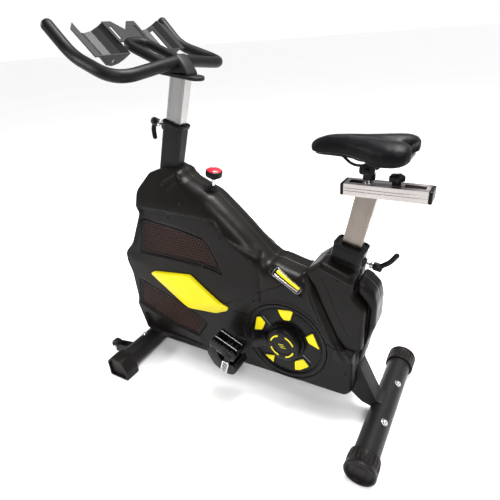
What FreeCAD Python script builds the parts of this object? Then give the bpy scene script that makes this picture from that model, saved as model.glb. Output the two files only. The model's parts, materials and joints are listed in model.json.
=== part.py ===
import FreeCAD, Part
import math
import os

# Indoor spin bike, millimetres. +X points to the rear, -X to the front, +Z up, -Y is the rider's left.
# The origin is on the floor, under the middle of the bike.
os.makedirs("parts", exist_ok=True)
V = FreeCAD.Vector
Y_AXIS = V(0, 1, 0)
GAP = 0.05          # radial clearance of a running fit

# stabilisers and feet
REAR_X, FRONT_X, FOOT_Z = 497.0, -437.0, 47.0
FOOT_TUBE_R, FOOT_WALL = 37.5, 3.0
REAR_CAP_R, REAR_CAP_Y = 47.0, (205.0, 263.0)
FRONT_CAP_Y = (200.0, 260.0)
BOLT_Y = 87.0
WHEEL_X, WHEEL_Z, WHEEL_R, WHEEL_Y = -533.0, 51.0, 27.0, (146.0, 168.0)
WHEEL_PIN_R = 4.0

# drive
CRANK_X, CRANK_Z = 190.0, 258.0
CRANK_LENGTH, CRANK_DROP = 170.0, 10.0      # the left arm points forward and this many degrees down
SPINDLE_R, BEARING_R, BEARING_Y = 10.0, 21.0, (24.0, 36.0)
ARM_Y = (97.0, 110.0)
WHEEL_AXIS_X, WHEEL_AXIS_Z = -215.0, 320.0  # flywheel axle
FLYWHEEL_R, RIM_HALF, WEB_HALF, HUB_HALF = 200.0, 16.0, 6.0, 20.0
BIG_PULLEY_R, SMALL_PULLEY_R, BELT_Y, BELT_THICK = 104.0, 28.0, (46.0, 60.0), 3.0

# aluminium section shared by both posts and the slider, and its steel sleeves
POST_LONG, POST_SHORT = 54.0, 30.0
FRONT_LEAN, FRONT_TOP_X, FRONT_TOP_Z = 18.0, -193.4, 905.0
SEAT_LEAN, SEAT_TOP_X, SEAT_TOP_Z = 12.3, 367.2, 585.0
FRONT_SLEEVE, SEAT_SLEEVE, SLEEVE_WALL = (70.0, 46.0), (76.0, 48.0), 3.0
POST_GAP = 0.1

# covers
COVER_HALF, COVER_WALL, COVER_BEVEL, BEVEL_START = 75.0, 3.0, 10.0, 62.0
RING_R, RING_FACE = 138.0, 70.0

# handlebar and saddle
BAR_R = 16.5
CLAMP_X, SLIDER_Z = 405.0, (755.0, 786.0)
KNOB_X, KNOB_SHANK_R = 472.0, 5.0

BODY_OUTLINE = [
    (-292, 765), (-352, 700), (-366, 642), (-354, 624), (-420, 497), (-465, 452), (-468, 415), (-454, 370),
    (-452, 252), (-464, 228), (-436, 110), (-345, 88), (-127, 93), (195, 107), (391, 112), (413, 140),
    (412, 292), (385, 288), (360, 320), (322, 400), (291, 470), (262, 520), (245, 500), (192, 512),
    (150, 524), (133, 522), (89, 565), (38, 616), (-14, 664), (-66, 709), (-103, 725), (-159, 750),
    (-180, 779), (-235, 782),
]
TOWER_OUTLINE = [
    (265, 522), (294, 472), (325, 402), (363, 322), (389, 292), (431, 314), (435, 440), (396, 481), (398, 524),
    (300, 562),
]
REAR_COVER_OUTLINE = [
    (401, 520), (422, 514), (450, 488), (459, 450), (459, 377), (440, 318), (426, 240), (417, 240),
    (417, 300), (434, 312), (438, 442), (400, 483),
]
LEG_OUTLINE = [
    (240, 118), (372, 118), (432, 66), (470, 58), (520, 58), (500, 86), (477, 90), (421, 206),
    (405, 222), (392, 166), (240, 166),
]
UPPER_VENT = [
    (-356, 600), (-216, 588), (-95, 566), (-80, 548), (-32, 452), (-115, 468), (-265, 468), (-386, 466),
]
LOWER_VENT = [
    (-415, 350), (-322, 321), (-189, 279), (-121, 230), (-165, 162), (-280, 173), (-396, 218), (-438, 236),
]
BADGE = [(-352, 386), (-330, 401), (-165, 423), (-48, 341), (-16, 330), (-26, 314), (-74, 291), (-199, 277)]


def save(node, *solids):
    """Writes one node as STEP: a single solid, or a group of separate solids."""
    shape = solids[0] if len(solids) == 1 else Part.makeCompound(list(solids))
    shape.exportStep("parts/" + node + ".step")


def block(x, y, z):
    """Box between the low and high value of each axis."""
    return Part.makeBox(x[1] - x[0], y[1] - y[0], z[1] - z[0], V(x[0], y[0], z[0]))


def slab(outline, y_low, y_high):
    """Outline of (x, z) points extruded along Y."""
    wire = Part.makePolygon([V(x, y_low, z) for x, z in outline + outline[:1]])
    return Part.Face(wire).extrude(V(0, y_high - y_low, 0))


def rod(start, end, radius):
    """Round bar between two points."""
    run = end - start
    return Part.makeCylinder(radius, run.Length, start, run)


def disc(x, z, y_low, y_high, radius):
    """Round disc with its axis along Y."""
    return Part.makeCylinder(radius, y_high - y_low, V(x, y_low, z), Y_AXIS)


def collar(x, z, y_low, y_high, outer, inner):
    """Disc with a round bore along Y."""
    return disc(x, z, y_low, y_high, outer).cut(disc(x, z, y_low, y_high, inner))


def leaning(shape, lean, x, z):
    """Turns a shape built around the Z axis about Y by the lean, and sets its origin at (x, z)."""
    turned = shape.copy()
    turned.rotate(V(0, 0, 0), Y_AXIS, lean)
    turned.translate(V(x, 0, z))
    return turned


def front_lean(shape):
    return leaning(shape, FRONT_LEAN, FRONT_TOP_X, FRONT_TOP_Z)


def seat_lean(shape):
    return leaning(shape, SEAT_LEAN, SEAT_TOP_X, SEAT_TOP_Z)


def mirrored(shape):
    """The same shape on the other side of the bike."""
    return shape.mirror(V(0, 0, 0), Y_AXIS)


def inset(outline, amount):
    """Moves every side of a closed outline inwards by the amount and joins them again at their crossings."""
    count = len(outline)
    area = sum(outline[i][0] * outline[(i + 1) % count][1] - outline[(i + 1) % count][0] * outline[i][1]
               for i in range(count))
    sign = 1.0 if area > 0 else -1.0
    moved = []
    for i in range(count):
        before, here, after = outline[i - 1], outline[i], outline[(i + 1) % count]
        sides = []
        for a, b in ((before, here), (here, after)):
            length = math.hypot(b[0] - a[0], b[1] - a[1])
            normal = (-(b[1] - a[1]) / length * sign, (b[0] - a[0]) / length * sign)
            sides.append((normal, normal[0] * here[0] + normal[1] * here[1] + amount))
        (n1, c1), (n2, c2) = sides
        cross = n1[0] * n2[1] - n1[1] * n2[0]
        moved.append(((c1 * n2[1] - c2 * n1[1]) / cross, (n1[0] * c2 - n2[0] * c1) / cross))
    return moved


def bent_tube(points, bends, radius):
    """Round bar along straight runs joined by tangent arcs; bends holds one arc radius per inner point."""
    edges = []
    start = points[0]
    for i, bend in enumerate(bends):
        corner, after = points[i + 1], points[i + 2]
        back = (points[i] - corner).normalize()
        ahead = (after - corner).normalize()
        half = math.acos(max(-1.0, min(1.0, back.dot(ahead)))) / 2
        reach = bend / math.tan(half)
        middle = corner + (back + ahead).normalize() * (bend / math.sin(half) - bend)
        first, last = corner + back * reach, corner + ahead * reach
        edges.append(Part.makeLine(start, first))
        edges.append(Part.Arc(first, middle, last).toShape())
        start = last
    edges.append(Part.makeLine(start, points[-1]))
    circle = Part.Wire(Part.makeCircle(radius, points[0], points[1] - points[0]))
    return Part.Wire(edges).makePipeShell([circle], True, False)


def sleeve(section, length, top):
    """Rectangular steel tube around the Z axis, from top down over the length."""
    half_long, half_short = section[0] / 2, section[1] / 2
    outer = block((-half_long, half_long), (-half_short, half_short), (top - length, top))
    inner = block((SLEEVE_WALL - half_long, half_long - SLEEVE_WALL),
                  (SLEEVE_WALL - half_short, half_short - SLEEVE_WALL), (top - length - 1, top + 1))
    return outer.cut(inner)


def extrusion(length, top, wall=2.5):
    """Aluminium post section around the Z axis, with two shallow grooves on each broad side."""
    half_long, half_short = POST_LONG / 2, POST_SHORT / 2
    body = block((-half_long, half_long), (-half_short, half_short), (top - length, top))
    hollow = block((wall - half_long, half_long - wall), (wall - half_short, half_short - wall),
                   (top - length - 1, top + 1))
    body = body.cut(hollow)
    for side in (-1, 1):
        for groove_x in (-17.0, 17.0):
            y_range = sorted((side * half_short, side * (half_short - 0.8)))
            body = body.cut(block((groove_x - 1.5, groove_x + 1.5), y_range, (top - length, top)))
    return body


# ---------------------------------------------------------------- frame

FRONT_LEVER_W, SEAT_LEVER_W = -14.0, -18.0
BRAKE_TILT, BRAKE_X, BRAKE_Z = 11.7, -81.0, 715.0
BRAKE_ROD_R, BRAKE_GUIDE_R = 6.0, 12.0
MAIN_TUBE_ENDS = (V(-250, 0, 692), V(297, 0, 322))
FRAME_HALF = 30.0
RAIL_Z = (118.0, 166.0)


def brake_lean(shape):
    return leaning(shape, BRAKE_TILT, BRAKE_X, BRAKE_Z)


def head_tube():
    half = FRONT_SLEEVE[0] / 2
    tube = sleeve(FRONT_SLEEVE, 282.0, 0.0)
    boss = Part.makeCylinder(13.0, 12.0, V(-half - 12, 0, FRONT_LEVER_W), V(1, 0, 0))
    hole = Part.makeCylinder(5.5, 25.0, V(-half - 20, 0, FRONT_LEVER_W), V(1, 0, 0))
    return front_lean(tube.fuse(boss).cut(hole))


def seat_tube():
    half = SEAT_SLEEVE[0] / 2
    tube = sleeve(SEAT_SLEEVE, 460.0, 0.0)
    boss = Part.makeCylinder(12.0, 12.0, V(half, 0, SEAT_LEVER_W), V(1, 0, 0))
    hole = Part.makeCylinder(5.5, 30.0, V(half - 12, 0, SEAT_LEVER_W), V(1, 0, 0))
    floor = block((100, 500), (-60, 60), (0, RAIL_Z[1]))
    return seat_lean(tube.fuse(boss).cut(hole)).cut(floor)


def main_tube():
    """Inclined tube, its crank post and the threaded guide of the brake rod."""
    start, end = MAIN_TUBE_ENDS
    run = end - start
    angle = math.degrees(math.atan2(run.x, run.z))
    outer = block((-30, 30), (-20, 20), (0, run.Length))
    inner = block((-27, 27), (-17, 17), (-1, run.Length + 1))
    outer.rotate(V(0, 0, 0), Y_AXIS, angle)
    inner.rotate(V(0, 0, 0), Y_AXIS, angle)
    outer.translate(start)
    inner.translate(start)
    head_space = front_lean(block((-100, FRONT_SLEEVE[0] / 2), (-40, 40), (-320, 10)))
    seat_space = seat_lean(block((-SEAT_SLEEVE[0] / 2, 100), (-40, 40), (-480, 10)))
    guide = brake_lean(Part.makeCylinder(BRAKE_GUIDE_R, 94.0, V(0, 0, -172)))
    bore = brake_lean(Part.makeCylinder(BRAKE_ROD_R + GAP, 200.0, V(0, 0, -200)))
    tube = outer.cut(inner).cut(head_space).cut(seat_space).cut(guide)
    post = block((155, 225), (-FRAME_HALF, FRAME_HALF), (RAIL_Z[0], 400)).cut(outer)
    post = post.cut(block((158, 222), (-FRAME_HALF + 3, FRAME_HALF - 3), (RAIL_Z[0] - 1, 401)))
    post = post.common(block((150, 230), (-40, 40), (90, 345)))
    post = post.cut(disc(CRANK_X, CRANK_Z, -40, 40, 28.0))
    return tube, post, guide.cut(bore)


def fork_legs():
    """Flat bars that carry the flywheel, one each side, with bearing bosses."""
    legs = []
    outline = [(-283, 672), (-238, 680), (-190, 330), (-162, RAIL_Z[0]), (-212, RAIL_Z[0]), (-240, 310)]
    for side in (-1, 1):
        y_range = sorted((side * BEARING_Y[0], side * FRAME_HALF))
        boss = sorted((side * BEARING_Y[0], side * BEARING_Y[1]))
        leg = slab(outline, *y_range).fuse(disc(WHEEL_AXIS_X, WHEEL_AXIS_Z, boss[0], boss[1], 27.0))
        leg = leg.cut(disc(WHEEL_AXIS_X, WHEEL_AXIS_Z, -60, 60, BEARING_R))
        legs.append(leg)
    return legs


def base_rails():
    """Two long flat bars along the bottom, and the bridge over the front stabiliser."""
    rails = []
    for side in (-1, 1):
        y_range = sorted((side * FRAME_HALF, side * (FRAME_HALF + 8)))
        rails.append(block((-455, 388), y_range, RAIL_Z))
    tube = disc(FRONT_X, FOOT_Z, -100, 100, FOOT_TUBE_R)
    bridge = block((-467, -402), (-FRAME_HALF, FRAME_HALF), (62, 150)).cut(tube)
    return rails + [bridge]


def rear_leg():
    tube = disc(REAR_X, FOOT_Z, -100, 100, FOOT_TUBE_R)
    return slab(LEG_OUTLINE, -FRAME_HALF, FRAME_HALF).cut(tube)


def stabiliser(x, half_length):
    return collar(x, FOOT_Z, -half_length, half_length, FOOT_TUBE_R, FOOT_TUBE_R - FOOT_WALL)


def stabiliser_bolts():
    """Four domed bolts that lean back from the top of the stabiliser tubes."""
    bolts = []
    for x in (FRONT_X, REAR_X):
        for side in (-1, 1):
            lean = math.radians(35 if x > 0 else -20)
            out = V(math.sin(lean), 0, math.cos(lean))
            seat = V(x, side * BOLT_Y, FOOT_Z) + out * (FOOT_TUBE_R - 0.5)
            bolts.append(rod(seat, seat + out * 7, 8.0).cut(disc(x, FOOT_Z, -100, 100, FOOT_TUBE_R)))
    return bolts


def front_foot_caps():
    """Six-sided end caps with a flat foot and a sunk end face."""
    outline = [(-46, -47), (46, -47), (49, -8), (30, 40), (-22, 43), (-47, 18)]
    shape = [(FRONT_X + x, FOOT_Z + z) for x, z in outline]
    caps = []
    for side in (-1, 1):
        y_range = sorted((side * FRONT_CAP_Y[0], side * FRONT_CAP_Y[1]))
        sunk = sorted((side * (FRONT_CAP_Y[1] - 8), side * FRONT_CAP_Y[1]))
        bore = sorted((side * FRONT_CAP_Y[0], side * 240.0))
        cap = slab(shape, *y_range).cut(slab(inset(shape, 7), *sunk))
        caps.append(cap.cut(disc(FRONT_X, FOOT_Z, bore[0], bore[1], FOOT_TUBE_R)))
    return caps


def rear_foot_caps():
    """Round ribbed end caps whose turned rim levels the bike."""
    caps = []
    for side in (-1, 1):
        low, high = sorted((side * REAR_CAP_Y[0], side * REAR_CAP_Y[1]))
        bore = sorted((side * REAR_CAP_Y[0], side * 240.0))
        sunk = sorted((side * (REAR_CAP_Y[1] - 9), side * REAR_CAP_Y[1]))
        cap = disc(REAR_X, FOOT_Z, low, high, REAR_CAP_R)
        cap = cap.cut(disc(REAR_X, FOOT_Z, bore[0], bore[1], FOOT_TUBE_R))
        cap = cap.cut(disc(REAR_X, FOOT_Z, sunk[0], sunk[1], REAR_CAP_R - 9))
        for rib in range(18):
            angle = math.radians(20 * rib + 10)
            x = REAR_X + (REAR_CAP_R + 1) * math.cos(angle)
            z = FOOT_Z + (REAR_CAP_R + 1) * math.sin(angle)
            groove = sorted((side * (REAR_CAP_Y[0] + 8), side * (REAR_CAP_Y[1] - 16)))
            cap = cap.cut(disc(x, z, groove[0], groove[1], 2.5))
        caps.append(cap)
    return caps


def wheel_brackets():
    """Two-eared steel brackets welded to the front stabiliser, each with its wheel pin."""
    parts = []
    tube = disc(FRONT_X, FOOT_Z, -250, 250, FOOT_TUBE_R)
    ear = [(-455, 78), (-455, 30), (WHEEL_X - 6, WHEEL_Z - 12), (WHEEL_X - 13, WHEEL_Z),
           (WHEEL_X - 6, WHEEL_Z + 12)]
    for side in (-1, 1):
        inner = sorted((side * (WHEEL_Y[0] - 5), side * (WHEEL_Y[0] - 1)))
        outer = sorted((side * (WHEEL_Y[1] + 1), side * (WHEEL_Y[1] + 5)))
        pin = sorted((side * (WHEEL_Y[0] - 8), side * (WHEEL_Y[1] + 8)))
        shape = slab(ear, *inner).fuse(slab(ear, *outer)).cut(tube)
        shape = shape.fuse(disc(WHEEL_X, WHEEL_Z, pin[0], pin[1], WHEEL_PIN_R))
        parts.append(shape)
    return parts


def transport_wheel(side):
    low, high = sorted((side * WHEEL_Y[0], side * WHEEL_Y[1]))
    wheel = collar(WHEEL_X, WHEEL_Z, low, high, WHEEL_R, WHEEL_PIN_R + GAP)
    outer_face = sorted((side * (WHEEL_Y[1] - 4), side * WHEEL_Y[1]))
    return wheel.cut(collar(WHEEL_X, WHEEL_Z, outer_face[0], outer_face[1], 19.0, 9.0))


def bottom_bracket_shell():
    return collar(CRANK_X, CRANK_Z, -BEARING_Y[1], BEARING_Y[1], 28.0, BEARING_R)


def axle_bearings():
    """Four ball bearings: two for the crank spindle and two for the flywheel axle."""
    bearings = []
    for x, z in ((CRANK_X, CRANK_Z), (WHEEL_AXIS_X, WHEEL_AXIS_Z)):
        for side in (-1, 1):
            low, high = sorted((side * BEARING_Y[0], side * BEARING_Y[1]))
            bearings.append(collar(x, z, low, high, BEARING_R, SPINDLE_R + GAP))
    return bearings


# ---------------------------------------------------------------- covers

def neck_wedges(shift):
    """Cutters that narrow the cover towards the handlebar post, on both sides."""
    profile = [(-75, 655), (-44, 776), (-44, 820), (-110, 820), (-110, 655)]
    wire = Part.makePolygon([V(-420, y + shift, z) for y, z in profile + profile[:1]])
    return Part.Face(wire).extrude(V(420, 0, 0))


def bevelled(outline, half, start, bevel):
    """Left half of a cover: straight to the bevel's start, then drawn in towards the side face."""
    side_wires = []
    for y, shape in ((-start, outline), (-half, inset(outline, bevel))):
        side_wires.append(Part.makePolygon([V(x, y, z) for x, z in shape + shape[:1]]))
    return slab(outline, -start, 0).fuse(Part.makeLoft(side_wires, True, True))


def frame_passages():
    """Spaces cut through the covers for the frame, the brake rod and the crank."""
    neck = front_lean(block((-36, 36), (-24, 24), (-300, 20)))
    mast = seat_lean(block((-39.5, 39.5), (-25.5, 25.5), (-480, 20)))
    knob = brake_lean(Part.makeCylinder(10.0, 60.0, V(0, 0, -40)))
    bridge = block((-475, -385), (-40, 40), (60, RAIL_Z[1] + 2))
    leg = slab(inset(LEG_OUTLINE, -1.0), -FRAME_HALF - 1, FRAME_HALF + 1)
    crank = disc(CRANK_X, CRANK_Z, -90, 90, 26.0)
    return [neck, mast, knob, bridge, leg, crank]


def shroud_left():
    outer = bevelled(BODY_OUTLINE, COVER_HALF, BEVEL_START, COVER_BEVEL).cut(neck_wedges(0))
    outer = outer.cut(disc(CRANK_X, CRANK_Z, -90, -RING_FACE, RING_R + 2))
    inner_outline = inset(BODY_OUTLINE, COVER_WALL)
    inner = bevelled(inner_outline, COVER_HALF - COVER_WALL, BEVEL_START - COVER_WALL, COVER_BEVEL)
    inner = inner.cut(neck_wedges(COVER_WALL))
    inner = inner.cut(disc(CRANK_X, CRANK_Z, -90, COVER_WALL - RING_FACE, RING_R + 5))
    shell = outer.cut(inner)
    for vent in (UPPER_VENT, LOWER_VENT):
        shell = shell.cut(slab(inset(vent, 6), -80, -60))
    for passage in frame_passages():
        shell = shell.cut(passage)
    return shell


def tower_cover():
    outer = slab(TOWER_OUTLINE, -60, 60)
    inner = slab(inset(TOWER_OUTLINE, COVER_WALL), -57, 57)
    shell = outer.cut(inner)
    for passage in frame_passages()[:2]:
        shell = shell.cut(passage)
    halves = []
    for y_range in ((-61, 0), (0, 61)):
        halves.append(shell.common(block((200, 500), y_range, (200, 600))))
    return halves


def rear_cover():
    outer = slab(REAR_COVER_OUTLINE, -46, 46)
    hollow = [(390, 512), (420, 510), (447, 486), (456, 449), (456, 378), (437, 319), (424, 243), (405, 243),
              (405, 300), (430, 312), (434, 442), (390, 482)]
    leg = slab(inset(LEG_OUTLINE, -1.0), -FRAME_HALF - 1, FRAME_HALF + 1)
    return outer.cut(slab(hollow, -43, 43)).cut(leg)


def vent_panels():
    """Four sheet inserts that close the side vents from inside the cover wall."""
    panels = []
    for vent in (UPPER_VENT, LOWER_VENT):
        left = slab(inset(vent, 6), -74, -72)
        panels += [left, mirrored(left)]
    return panels


def side_badges():
    left = slab(BADGE, -79, -COVER_HALF)
    return left, mirrored(left)


def reflectors():
    """Sloping strips let into the side above the crank."""
    outline = [(150, 507), (156, 513), (240, 470), (234, 461)]
    left = slab(outline, -77, -COVER_HALF)
    return left, mirrored(left)


def ring_covers():
    """Round decorative covers around the crank, with a raised rim."""
    covers = []
    for side in (-1, 1):
        low, high = sorted((side * RING_FACE, side * (RING_FACE + 3)))
        rim_low, rim_high = sorted((side * (RING_FACE + 3), side * (RING_FACE + 6)))
        plate = collar(CRANK_X, CRANK_Z, low, high, RING_R, 30.0)
        covers.append(plate.fuse(collar(CRANK_X, CRANK_Z, rim_low, rim_high, RING_R, RING_R - 8)))
    return covers


def ring_inserts():
    """Six coloured pads on each ring cover, in three facing pairs."""
    pads = []
    polar = [(68, -17), (101, -20), (112, 4), (104, 15), (74, 16)]
    for side in (-1, 1):
        low, high = sorted((side * (RING_FACE + 3), side * (RING_FACE + 6)))
        for spoke in (112, 232, 352):
            for hand in (-1, 1):
                outline = []
                for radius, turn in polar:
                    angle = math.radians(spoke + hand * (33 - turn))
                    outline.append((CRANK_X + radius * math.cos(angle), CRANK_Z + radius * math.sin(angle)))
                pads.append(slab(outline, low, high))
    return pads


def shroud_screws():
    heads = []
    for x, z in ((-32, 580), (76, 520), (81, 381), (389, 201), (-230, 622)):
        for side in (-1, 1):
            low, high = sorted((side * COVER_HALF, side * (COVER_HALF + 1.5)))
            heads.append(disc(x, z, low, high, 4.0))
    return heads


def bush(section, rim, lever_w, lever_side):
    """Plastic liner between a sleeve and its post, with a rim on top and a hole for the clamp stud."""
    half_long, half_short = section[0] / 2 - SLEEVE_WALL, section[1] / 2 - SLEEVE_WALL
    liner = block((-half_long, half_long), (-half_short, half_short), (-85, 0))
    liner = liner.fuse(block(rim[0], (-rim[1], rim[1]), (0, rim[2])))
    post_space = block((-POST_LONG / 2 - POST_GAP, POST_LONG / 2 + POST_GAP),
                       (-POST_SHORT / 2 - POST_GAP, POST_SHORT / 2 + POST_GAP), (-90, rim[2] + 5))
    stud = Part.makeCylinder(5.5, 60.0, V(0, 0, lever_w), V(lever_side, 0, 0))
    return liner.cut(post_space).cut(stud)


def knob_grommet():
    """Rubber ring where the brake rod leaves the cover."""
    flange = brake_lean(Part.makeCylinder(14.0, 14.0, V(0, 0, -6))).cut(slab(BODY_OUTLINE, -40, 40))
    neck = brake_lean(Part.makeCylinder(10.0, 16.0, V(0, 0, -8)))
    return flange.fuse(neck).cut(brake_lean(Part.makeCylinder(7.5, 30.0, V(0, 0, -15))))


# ---------------------------------------------------------------- drive

def drive_belt():
    """Closed belt around the two pulleys, with its straight runs on their common tangents."""
    gap_x, gap_z = WHEEL_AXIS_X - CRANK_X, WHEEL_AXIS_Z - CRANK_Z
    distance = math.hypot(gap_x, gap_z)
    heading = math.atan2(gap_z, gap_x)

    def loop(extra):
        big, small = BIG_PULLEY_R + extra, SMALL_PULLEY_R + extra
        spread = math.acos((big - small) / distance)
        sides = []
        for turn in (heading + spread, heading - spread):
            out = (math.cos(turn), math.sin(turn))
            sides.append(((CRANK_X + big * out[0], CRANK_Z + big * out[1]),
                          (WHEEL_AXIS_X + small * out[0], WHEEL_AXIS_Z + small * out[1])))
        web = [sides[0][0], sides[0][1], sides[1][1], sides[1][0]]
        solid = slab(web, *BELT_Y)
        solid = solid.fuse(disc(CRANK_X, CRANK_Z, BELT_Y[0], BELT_Y[1], big))
        return solid.fuse(disc(WHEEL_AXIS_X, WHEEL_AXIS_Z, BELT_Y[0], BELT_Y[1], small))

    return loop(BELT_THICK + GAP).cut(loop(GAP))


def flywheel():
    rim = disc(WHEEL_AXIS_X, WHEEL_AXIS_Z, -RIM_HALF, RIM_HALF, FLYWHEEL_R)
    for side in (-1, 1):
        low, high = sorted((side * WEB_HALF, side * RIM_HALF))
        rim = rim.cut(collar(WHEEL_AXIS_X, WHEEL_AXIS_Z, low, high, FLYWHEEL_R - 38, 32.0))
    hub = disc(WHEEL_AXIS_X, WHEEL_AXIS_Z, -HUB_HALF, HUB_HALF, 32.0)
    return rim.fuse(hub).cut(disc(WHEEL_AXIS_X, WHEEL_AXIS_Z, -30, 30, SPINDLE_R))


def pulley(x, z, radius, hub_low):
    """Flat belt pulley with a lip on each side of the belt and a hub towards the frame."""
    belt_low, belt_high = BELT_Y
    wheel = disc(x, z, belt_low, belt_high, radius)
    wheel = wheel.fuse(disc(x, z, belt_high + 0.2, belt_high + 1.7, radius + 3))
    wheel = wheel.fuse(disc(x, z, belt_high, belt_high + 0.2, radius - 2))
    wheel = wheel.fuse(disc(x, z, hub_low, belt_low, 16.0))
    return wheel.cut(disc(x, z, 30, 90, SPINDLE_R))


def crank_pulley():
    wheel = pulley(CRANK_X, CRANK_Z, BIG_PULLEY_R, 38.0)
    for turn in range(5):
        angle = math.radians(72 * turn)
        hole_x, hole_z = CRANK_X + 60 * math.cos(angle), CRANK_Z + 60 * math.sin(angle)
        wheel = wheel.cut(disc(hole_x, hole_z, 30, 90, 24.0))
    return wheel


def arm_end(side):
    """Centre of the pedal spindle on one side; the two arms point opposite ways."""
    angle = math.radians(180 + CRANK_DROP if side < 0 else CRANK_DROP)
    return CRANK_X + CRANK_LENGTH * math.cos(angle), CRANK_Z + CRANK_LENGTH * math.sin(angle)


def crank_arm(side):
    """Arm that leaves the spindle close to the cover and steps out towards the pedal."""
    plan = [(-20, 80), (62, 80), (112, ARM_Y[0]), (CRANK_LENGTH + 15, ARM_Y[0]), (CRANK_LENGTH + 15, ARM_Y[1]),
            (106, ARM_Y[1]), (56, 94), (-20, 94)]
    wire = Part.makePolygon([V(run, side * out, -20) for run, out in plan + plan[:1]])
    arm = Part.Face(wire).extrude(V(0, 0, 40))
    profile = [(-14, 15), (CRANK_LENGTH, 12.5), (CRANK_LENGTH, -12.5), (-14, -15)]
    limits = slab(profile, -150, 150)
    limits = limits.fuse(disc(0, 0, -150, 150, 19.0)).fuse(disc(CRANK_LENGTH, 0, -150, 150, 14.5))
    arm = arm.common(limits)
    arm = arm.cut(disc(0, 0, -150, 150, SPINDLE_R)).cut(disc(CRANK_LENGTH, 0, -150, 150, 7.0))
    turn = -(180 + CRANK_DROP) if side < 0 else -CRANK_DROP
    arm.rotate(V(0, 0, 0), Y_AXIS, turn)
    arm.translate(V(CRANK_X, 0, CRANK_Z))
    return arm


def hub_caps():
    """Hollow domed caps over the crank hubs, each with a slot where the arm comes out."""
    caps = []
    for side in (-1, 1):
        low, high = sorted((side * 77.0, side * 100.0))
        hollow = sorted((side * 76.0, side * 97.0))
        cap = disc(CRANK_X, CRANK_Z, low, high, 58.0)
        edge = list(cap.Edges)
        outer_rim = [e for e in edge if abs(abs(e.CenterOfMass.y) - 100.0) < 0.01]
        cap = cap.makeFillet(6.0, outer_rim).cut(disc(CRANK_X, CRANK_Z, hollow[0], hollow[1], 52.0))
        slot = block((0, 90), sorted((side * 70.0, side * 97.0)), (-21, 21))
        slot.rotate(V(0, 0, 0), Y_AXIS, -(180 + CRANK_DROP) if side < 0 else -CRANK_DROP)
        slot.translate(V(CRANK_X, 0, CRANK_Z))
        caps.append(cap.cut(slot))
    return caps


# ---------------------------------------------------------------- pedals

PEDAL_Y = (115.0, 180.0)
PEDAL_TILT = 23.0
CAGE_OUTLINE = [(-63, 20), (-75, -18), (-54, -62), (-12, -82), (22, -78)]


def pedal(side):
    """Platform with a bearing tube and two toothed side plates, tilted nose up."""
    low, high = sorted((side * PEDAL_Y[0], side * PEDAL_Y[1]))
    platform = block((-62, 38), (low, high), (-8, 14))
    for window in ((-52, -18), (14, 30)):
        platform = platform.cut(block(window, (low + 12, high - 12), (-10, 16)))
    for edge in ((low, low + 4), (high - 4, high)):
        platform = platform.fuse(block((-62, 38), edge, (-8, 26)))
        for notch in range(9):
            start = -58.0 + 11 * notch
            platform = platform.cut(block((start, start + 5), edge, (20, 27)))
    platform = platform.fuse(disc(0, 0, low, high, 13.0))
    platform = platform.cut(disc(0, 0, low - 1, high + 1, 7.0 + GAP))
    platform.rotate(V(0, 0, 0), Y_AXIS, PEDAL_TILT)
    x, z = arm_end(side)
    platform.translate(V(x, 0, z))
    return platform


def toe_cage(side):
    """Hanging toe cage: a bent band with two side cheeks, the strap around it and the strap's buckle."""
    low, high = sorted((side * PEDAL_Y[0], side * PEDAL_Y[1]))
    inner = [(-57, 14), (-68, -18), (-50, -58), (-11, -77), (26, -73), (40, -60), (30, 10)]
    hanging = CAGE_OUTLINE + [(40, -52), (30, -24), (-52, 8)]
    body = slab(hanging, low, high).cut(slab(inner, low + 3, high - 3))
    for edge in ((low, low + 3), (high - 3, high)):
        body = body.cut(slab([(-50, -22), (-44, -48), (-18, -62), (-10, -34)], *edge))
    platform = block((-70, 60), (low - 1, high + 1), (-8.3, 40))
    platform.rotate(V(0, 0, 0), Y_AXIS, PEDAL_TILT)
    body = body.cut(platform).cut(disc(0, 0, low, high, 13.3))
    outer = side * PEDAL_Y[1]
    strap_y = sorted((outer, outer + side * 2))
    strap = slab([(-34, -2), (-42, -66), (-24, -74), (-14, -8)], *strap_y)
    buckle_y = sorted((outer + side * 2, outer + side * 6))
    buckle = slab([(-36, -18), (-42, -62), (-20, -70), (-13, -24)], *buckle_y)
    window = slab([(-31, -24), (-33, -38), (-22, -42), (-20, -28)], *buckle_y)
    solids = []
    x, z = arm_end(side)
    for shape in (body, strap.cut(platform), buckle.cut(window)):
        shape.translate(V(x, 0, z))
        solids.append(shape)
    return solids


def pedal_spindles():
    pins = []
    for side in (-1, 1):
        x, z = arm_end(side)
        low, high = sorted((side * ARM_Y[0], side * (PEDAL_Y[1] - 1)))
        pins.append(disc(x, z, low, high, 7.0))
    return pins


# ---------------------------------------------------------------- brake

def brake_knob():
    cap = Part.makeCylinder(26.0, 20.0, V(0, 0, 44))
    button = Part.makeCylinder(24.0, 5.0, V(0, 0, 64))
    skirt = Part.makeCylinder(12.0, 6.0, V(0, 0, 38))
    knob = cap.fuse(button).fuse(skirt).cut(Part.makeCylinder(BRAKE_ROD_R, 20.0, V(0, 0, 30)))
    return brake_lean(knob)


def brake_rod():
    return brake_lean(Part.makeCylinder(BRAKE_ROD_R, 242.0, V(0, 0, -192)))


def brake_pad():
    """Shoe that turns on the rod's end, and the pad it presses on the flywheel rim."""
    shoe = block((-30, 30), (-17, 17), (-200, -184))
    shoe = shoe.cut(Part.makeCylinder(BRAKE_ROD_R + GAP, 10.0, V(0, 0, -192.05)))
    pad = block((-28, 28), (-15, 15), (-222, -200))
    clear = disc(WHEEL_AXIS_X, WHEEL_AXIS_Z, -40, 40, FLYWHEEL_R + 6)
    return brake_lean(shoe).cut(clear), brake_lean(pad).cut(clear)


# ---------------------------------------------------------------- cockpit

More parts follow.
